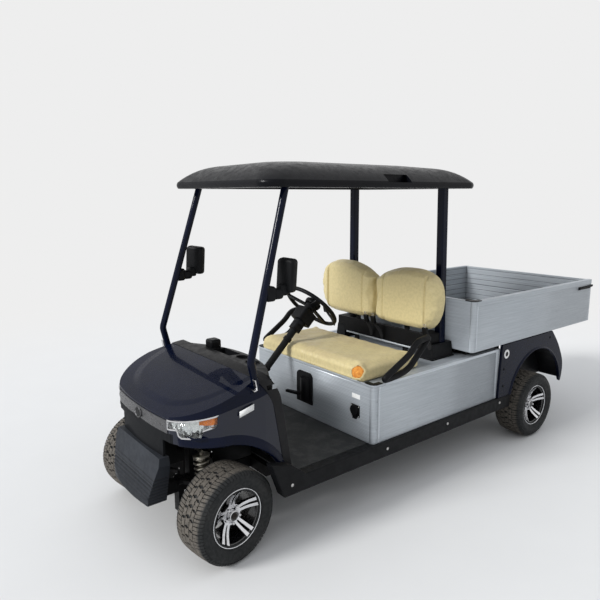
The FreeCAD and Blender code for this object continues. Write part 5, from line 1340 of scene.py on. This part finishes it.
def make_rear_wings():
    """Rear wings with a rounded tail, a rolled lip round the arch, and a closed liner inside."""
    low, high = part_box("rear_fender_left")
    y = low.y + 0.410
    foot = BOX_LOW.z
    arc = arc_through((y - 0.264, foot + 0.002), (y + 0.077, WING_TOP), (y + 0.414, foot - 0.010), 40)
    tail = softened([(y + 0.414, foot - 0.010), (y + 0.446, low.z), (y + 0.474, foot + 0.095),
                     (y + 0.380, WING_TOP - 0.012), (y + 0.275, high.z)], 0.075)
    front = [(low.y + 0.022, high.z), (low.y, foot + 0.040), (low.y + 0.002, foot + 0.002)]
    outline = front + arc[:-1] + tail

    def plate(shape, *places):
        return lofted([[(x, py, pz) for py, pz in shape] for x in places])

    def along_arch(section):
        """A loft of a section of (x, outward) points along the arch."""
        rows = []
        for py, pz in arc:
            away = Vector((py - (y + 0.07), pz - foot)).normalized()
            rows.append([(x, py + away.x * out, pz + away.y * out) for x, out in section])
        return lofted(rows)

    def wing(side, sign):
        outer = sign * high.x
        skin = NODE_LOOKS["rear_fender_left"]
        form = plate(outline, sign * (BOX_HIGH.x + 0.001), outer)
        plate_made = rounded("wing_" + side, form, skin, 0.005, 3, 50, "body_gloss")
        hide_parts("rear_fender_" + side)
        rolled = along_arch([(outer + sign * lift, out) for lift, out in WING_LIP])
        piece("wing_lip_" + side, rolled, skin, 60, "body_gloss")
        inner, edge = sign * low.x, sign * (high.x - 0.012)
        liner = along_arch([(inner, 0.0), (edge, 0.0), (edge, 0.006), (inner, 0.006)])
        piece("wing_liner_" + side, liner, CAP_BLACK, 50)
        closed = [(py, max(pz, WALL_FOOT) + 0.002) for py, pz in arc]
        piece("wing_wall_" + side, plate(closed, inner, sign * (low.x + 0.004)), CAP_BLACK, 50)
    both_sides(wing)
    form = block((-0.54, BOX_HIGH.y + 0.009, DECK_TOP - 0.014), (0.54, BOX_HIGH.y + 0.015, BED_LOW.z - 0.002))
    rounded("bed_apron", form, CAP_BLACK, 0.002)


# The rolled lip's section: how far each point stands off the wing, and outward from the arch
WING_LIP = (
    (-0.012, -0.001), (0.006, -0.002), (0.0085, 0.001), (0.008, 0.006), (0.003, 0.013), (-0.004, 0.017),
)


WING_TOP = 0.633
WALL_FOOT = 0.338


def make_front_lips():
    """Rolled lips round the front wheel arches, on the fenders' own surface, and splash plates inside."""
    skin = bvhtree.BVHTree.FromObject(frame["nodes"]["front_fenders"], bpy.context.evaluated_depsgraph_get())
    centre = Vector((ARCH_Y, ARCH_Z))
    inward = Vector((-1, 0, 0))
    angles = [math.radians(angle) for angle in range(21, 91, 3)]
    path = []
    for angle in angles:
        path.append((ARCH_Y + ARCH_RADIUS * math.cos(angle), ARCH_Z + ARCH_RADIUS * math.sin(angle)))
    for ahead in (0.03, 0.06, 0.09, 0.12, 0.145, 0.165):
        path.append((ARCH_Y - ahead, ARCH_Z + ARCH_RADIUS + ahead * 0.03))
    rows = []
    reach = COWL_HALF
    for py, pz in path:
        away = (Vector((py, pz)) - centre).normalized() if py > ARCH_Y else Vector((0, 1))
        row = []
        for out, lift in LIP:
            on_skin = max(out, 0.003)
            start = Vector((1, py + away.x * on_skin, pz + away.y * on_skin))
            spot = skin.ray_cast(start, inward)[0]
            reach = spot.x if spot else reach
            row.append((reach + lift, py + away.x * out, pz + away.y * out))
        rows.append(row)

    def lip(side, sign):
        piece("arch_lip_" + side, mirrored(lofted(rows), sign), NODE_LOOKS["hood"], 60)
        rounded("splash_plate_" + side, mirrored(block(*SPLASH_PLATE), sign), CAP_BLACK, 0.002)
    both_sides(lip)


# The front arches' centre and radius, and the fenders' half width where a ray misses them
ARCH_Y, ARCH_Z, ARCH_RADIUS = -1.525, 0.250, 0.338
COWL_HALF = 0.500
SPLASH_PLATE = (0.236, -1.452, 0.366), (0.242, -1.215, 0.600)
# The lip's section: place outward from the arch, and lift off the fender
LIP = ((0.050, -0.003), (0.042, 0.001), (0.032, 0.005), (0.022, 0.012), (0.012, 0.0165), (0.004, 0.017),
       (-0.001, 0.014), (-0.001, -0.006))


# Small fittings

def screw_head(radius, height):
    """A pan head with a small recess."""
    shares = ((0.4, 1.0), (0.85, 0.72), (1.0, 0.4), (0.55, 0.28), (0.5, 0.02))
    return turned([(-0.001, radius)] + [(height * rise, radius * out) for rise, out in shares], 16)


def screws(places, form, direction):
    """Copies of a screw head at places, all facing one way."""
    return joined([moved(form, aimed(place, direction)) for place in places])


def make_screws():
    """Silver screws along the sills, and black ones on the rear wings."""
    fender_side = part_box("rear_fender_left")[1].x

    def side_screws(side, sign):
        for name, rows, x, radius, look in (("sill", SILL_SCREWS, SILL_SIDE, 0.0085, SCREW_METAL),
                                            ("fender", FENDER_SCREWS, fender_side, 0.009, CAP_BLACK)):
            places = [(sign * x, y, z) for y, z in rows]
            piece(f"{name}_screws_{side}", screws(places, screw_head(radius, 0.004), (sign, 0, 0)), look)
    both_sides(side_screws)


SILL_SCREWS = ((-1.200, 0.326), (-0.514, 0.318), (0.035, 0.325), (0.611, 0.327))
FENDER_SCREWS = ((0.640, 0.440), (0.640, 0.560), (1.240, 0.690))


def make_labels():
    """Blank labels where the photographed cart has its stickers."""
    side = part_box("front_fenders")[1].x
    verts = [(side - 0.006, -1.444, 0.712), (side - 0.006, -1.444, 0.742),
             (side + 0.0006, -1.366, 0.735), (side + 0.0006, -1.366, 0.765)]
    label = piece("side_label", (verts, [(0, 2, 3, 1)]), LABEL_WHITE)
    label.modifiers.new("thick", "SOLIDIFY").thickness = 0.0006
    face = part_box("seat_box_front")[0].y
    form = block((0.392, face - 0.0026, 0.598), (0.456, face + 0.001, 0.624))
    rounded("socket_label", form, LABEL_WHITE, 0.0003, slot="ribbed_aluminium")
    disc = [(-0.0005, 0.031), (0.0006, 0.031), (0.0008, 0.030), (0.0008, 0.0165), (0.0008, 0.0005)]
    stand = aimed((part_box("rear_fender_left")[1].x, 0.664, 0.664), (1, 0, 0))
    form = moved(turned(disc, 40, marks=[0, 0, 0, 1]), stand)
    piece("round_label", form, [LABEL_WHITE, CAP_BLACK], 40, "black_plastic")


def post_cap(reach, front, radius, top):
    """A cap over a corner post: round outside, and notched inside."""
    x, y = reach - radius, front + radius
    edge = radius + 0.001
    angles = [math.radians(angle) for angle in range(0, 91, 15)]
    points = [(x - 0.045, y + 0.004), (x - 0.045, front - 0.001)]
    points += [(x + edge * math.sin(angle), y - edge * math.cos(angle)) for angle in angles]
    points += [(reach + 0.001, y + 0.045), (x - 0.004, y + 0.045), (x - 0.004, y + 0.004)]
    return lofted([[(px, py, height) for px, py in points] for height in (top - 0.002, top + 0.0045)])


def make_caps_and_strips():
    """Black caps on the corner posts, and the aluminium edge strips of box and deck."""
    bed_front, bed_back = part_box("bed_front")
    bed_cap = post_cap(BED_HIGH.x, bed_front.y, 0.028, bed_back.z)
    box_cap = post_cap(BOX_HIGH.x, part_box("seat_box_front")[0].y, 0.026, DECK_TOP)
    deck_edge = block((BOX_HIGH.x - 0.030, BOX_LOW.y + 0.075, DECK_TOP - 0.016),
                      (BOX_HIGH.x + 0.0015, BOX_HIGH.y, DECK_TOP + 0.0025))

    def corner(side, sign):
        def strip(name, form, edge):
            rounded(name, mirrored(form, sign), STRIP_METAL, edge)

        rounded("bed_cap_" + side, mirrored(bed_cap, sign), CAP_BLACK, 0.0015)
        rounded("box_cap_" + side, mirrored(box_cap, sign), CAP_BLACK, 0.0015)
        strip("deck_edge_" + side, deck_edge, 0.0015)
        for index, (start, width) in enumerate(((0.0, 0.012), (0.016, 0.030))):
            rear = BOX_HIGH.y - start
            form = block((BOX_HIGH.x - 0.002, rear - width, BOX_LOW.z),
                         (BOX_HIGH.x + 0.0022, rear, BOX_HIGH.z))
            strip(f"box_end_strip_{side}_{index}", form, 0.001)
        for name, x, y, low, high in (
                ("box", BOX_HIGH.x, BOX_LOW.y + 0.02, BOX_LOW.z, BOX_HIGH.z),
                ("bed", BED_HIGH.x - 0.002, BED_LOW.y + 0.004, BED_LOW.z, BED_HIGH.z)):
            form = block((x - 0.003, y, low + 0.001), (x + 0.0016, y + 0.010, high - 0.001))
            strip(f"{name}_front_strip_{side}", form, 0.001)
    both_sides(corner)


def ribbon(name, points, width, across, look):
    """A flat strap that follows points, with its width along a direction."""
    across = Vector(across).normalized() * (width / 2)
    verts = [Vector(point) + across * side for point in points for side in (-1, 1)]
    faces = [(2 * i, 2 * i + 1, 2 * i + 3, 2 * i + 2) for i in range(len(points) - 1)]
    made = piece(name, (verts, faces), look, 60)
    fold = made.modifiers.new("soft", "SUBSURF")
    fold.levels = 2
    fold.render_levels = 2
    thickened(made, 0.0016, 0)


def make_belts():
    """Seat belt straps from the beam behind the cushion, with their buckles and tongues."""
    beam = BACK_HIGH.y - 0.033
    top = CUSHION_HIGH.z
    for index, x in enumerate(BELT_PLACES):
        lean = 0.02 if index % 2 else -0.015
        strap = [(x, beam + 0.003, top - 0.02), (x + lean * 0.3, beam - 0.006, top + 0.03),
                 (x + lean * 0.7, BACK_LOW.y + 0.010, top + 0.075),
                 (x + lean, BACK_LOW.y - 0.012, top + 0.115)]
        ribbon(f"belt_strap_{index}", strap, 0.030, (1, 0, 0.1), CLOTH_BLACK)
        turn = Matrix.Translation(Vector(strap[-1])) @ Matrix.Rotation(math.radians(14), 4, "X")
        buckle = block((-0.018, -0.009, -0.022), (0.018, 0.009, 0.030))
        rounded(f"belt_buckle_{index}", moved(buckle, turn), CAP_BLACK, 0.004, 3)
        tongue = block((-0.010, -0.0015, 0.028), (0.010, 0.0015, 0.052))
        rounded(f"belt_tongue_{index}", moved(tongue, turn), NUT_CHROME, 0.001)


BELT_PLACES = (0.040, 0.445, -0.445, -0.060)


def make_socket_flange():
    """Square flange with four screws behind the charging socket's cover."""
    low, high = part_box("charge_socket")
    x, z = (low.x + high.x) / 2, low.z + (high.z - low.z) * 0.56
    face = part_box("seat_box_front")[0].y
    half, screw_reach = 0.036, 0.029
    form = block((x - half, face - 0.005, z - half), (x + half, face + 0.001, z + half))
    rounded("socket_flange", form, CAP_BLACK, 0.004, 3)
    corners = [(side * screw_reach, rise * screw_reach) for side in (-1, 1) for rise in (-1, 1)]
    places = [(x + across, face - 0.005, z + up) for across, up in corners]
    piece("socket_screws", screws(places, screw_head(0.004, 0.002), (0, -1, 0)), SCREW_METAL)


def make_back_rail():
    """Thin bright rail along the foot of the beam behind the cushion."""
    y = BACK_HIGH.y - 0.036
    form = block((-0.30, y - 0.006, CUSHION_HIGH.z - 0.034), (0.30, y, CUSHION_HIGH.z - 0.024))
    rounded("back_rail", form, STRIP_METAL, 0.0015)


def make_tube_clips():
    """Bright clip at the foot of each front tube."""
    form = joined([block((-0.011, -0.003, -0.020), (0.011, 0.003, 0.030)),
                   block((-0.011, -0.018, -0.024), (0.011, 0.003, -0.019))])

    def clip(side, sign):
        place = (sign * 0.4925, -1.352, 0.850)
        stand = Matrix.Translation(place) @ Matrix.Rotation(math.radians(12), 4, "X")
        rounded("tube_clip_" + side, moved(form, stand), LOOKS["chrome_band"], 0.001)
    both_sides(clip)


def make_wheel_hub_cap():
    """Plain padded cap over the steering wheel's hub."""
    joint = next(item for item in frame["joints"] if item["name"] == "steering_wheel_turn")
    axis = Vector(joint["axis"])
    stand = aimed(Vector(joint["pos_m"]) + axis * 0.018, axis)
    profile = [(-0.012, 0.052), (0.004, 0.056), (0.016, 0.053), (0.022, 0.044), (0.024, 0.020),
               (0.0245, 0.0005)]
    piece("wheel_hub_cap", moved(turned(profile, 48), stand), CAP_BLACK, 40, body="steering_wheel")


# Stage

def place_camera():
    data = bpy.data.cameras.new("view")
    data.lens = CAMERA_LENS
    data.sensor_width = 36.0
    data.shift_y = CAMERA_SHIFT
    data.clip_end = 100.0
    camera = bpy.data.objects.new("view", data)
    scene.collection.objects.link(camera)
    level = math.cos(CAMERA_PITCH)
    ahead = Vector((-math.sin(CAMERA_YAW) * level, math.cos(CAMERA_YAW) * level, math.sin(CAMERA_PITCH)))
    right = Vector((math.cos(CAMERA_YAW), math.sin(CAMERA_YAW), 0))
    up = right.cross(ahead)
    turn = Matrix((right, up, -ahead)).transposed().to_4x4() @ Matrix.Rotation(CAMERA_ROLL, 4, "Z")
    camera.matrix_world = Matrix.Translation(CAMERA_PLACE) @ turn
    scene.camera = camera


def seen_directly(tree):
    """1 for the rays that show the backdrop: the camera's, and those mirrored by metal or passed by glass."""
    path = tree.nodes.new("ShaderNodeLightPath")
    seen = path.outputs["Is Camera Ray"]
    for kind in ("Is Glossy Ray", "Is Transmission Ray"):
        either = tree.nodes.new("ShaderNodeMath")
        either.operation = "MAXIMUM"
        tree.links.new(seen, either.inputs[0])
        tree.links.new(path.outputs[kind], either.inputs[1])
        seen = either.outputs[0]
    return seen


def make_floor():
    """Pale floor that keeps the object's shadow and runs into the backdrop's colour further out."""
    look = Look("studio_floor", tone(206, 206, 205), 0.8, Specular_IOR_Level=0.2)
    look.paint(look.mixed(look.noise(2.5, 5), tone(212, 212, 211), tone(216, 216, 215)))
    look.relief(look.noise(160, 4), 0.001, 0.1)
    along = look.node("VectorMath", {0: look.place}, operation="LENGTH").outputs["Value"]
    far = look.times(look.between(along, 2.6, 6.5), seen_directly(look.tree))
    sky = look.node("Emission", {"Color": (*tone(*BACKDROP), 1), "Strength": 1.0})
    blend = look.node("MixShader", {0: far, 1: look.shader.outputs[0], 2: sky.outputs[0]})
    look.feed(look.tree.nodes["Material Output"].inputs["Surface"], blend.outputs[0])
    mesh = bpy.data.meshes.new("studio_floor")
    half = 60
    corners = [(-half, -half, 0), (half, -half, 0), (half, half, 0), (-half, half, 0)]
    mesh.from_pydata(corners, [], [(0, 1, 2, 3)])
    mesh.materials.append(look.material)
    ground = bpy.data.objects.new("studio_floor", mesh)
    scene.collection.objects.link(ground)


def make_world():
    """An even surround, dimmer near the horizon, behind which the backdrop's colour shows."""
    world = bpy.data.worlds.new("studio")
    world.use_nodes = True
    scene.world = world
    tree = world.node_tree
    ambient = tree.nodes["Background"]
    ambient.inputs["Color"].default_value = (*tone(236, 239, 244), 1)
    place = tree.nodes.new("ShaderNodeTexCoord")
    parts = tree.nodes.new("ShaderNodeSeparateXYZ")
    tree.links.new(place.outputs["Generated"], parts.inputs[0])
    rise = tree.nodes.new("ShaderNodeMapRange")
    rise.interpolation_type = "SMOOTHSTEP"
    for name, value in (("From Min", 0.0), ("From Max", 0.9), ("To Min", 0.5), ("To Max", 1.1)):
        rise.inputs[name].default_value = value
    tree.links.new(parts.outputs[2], rise.inputs["Value"])
    tree.links.new(rise.outputs[0], ambient.inputs["Strength"])
    seen = tree.nodes.new("ShaderNodeBackground")
    seen.inputs["Color"].default_value = (*tone(*BACKDROP), 1)
    seen.inputs["Strength"].default_value = 1.0
    mix = tree.nodes.new("ShaderNodeMixShader")
    tree.links.new(seen_directly(tree), mix.inputs[0])
    tree.links.new(ambient.outputs[0], mix.inputs[1])
    tree.links.new(seen.outputs[0], mix.inputs[2])
    tree.links.new(mix.outputs[0], tree.nodes["World Output"].inputs["Surface"])


def make_stage():
    """Floor, surround and a wide soft key light from the front."""
    make_floor()
    make_world()
    key = bpy.data.lights.new("key", "SUN")
    key.energy = 3.0
    key.angle = math.radians(16)
    lamp = bpy.data.objects.new("key", key)
    scene.collection.objects.link(lamp)
    lamp.rotation_euler = KEY_DIRECTION.to_track_quat("-Z", "Y").to_euler()
    scene.view_settings.view_transform = "Standard"


BACKDROP = (238, 238, 238)
KEY_DIRECTION = Vector((0.35, 2.0, -1.12))

place_camera()
make_stage()
dress_nodes()
round_nodes()
make_wheels()
make_seat_back()
make_cushion()
make_torn_patch()
make_lamps()
make_nose_oval()
make_mirrors()
make_armrests()
make_dash()
make_plank_skins()
make_rear_wings()
make_front_lips()
make_screws()
make_labels()
make_caps_and_strips()
make_belts()
make_socket_flange()
make_back_rail()
make_tube_clips()
make_wheel_hub_cap()
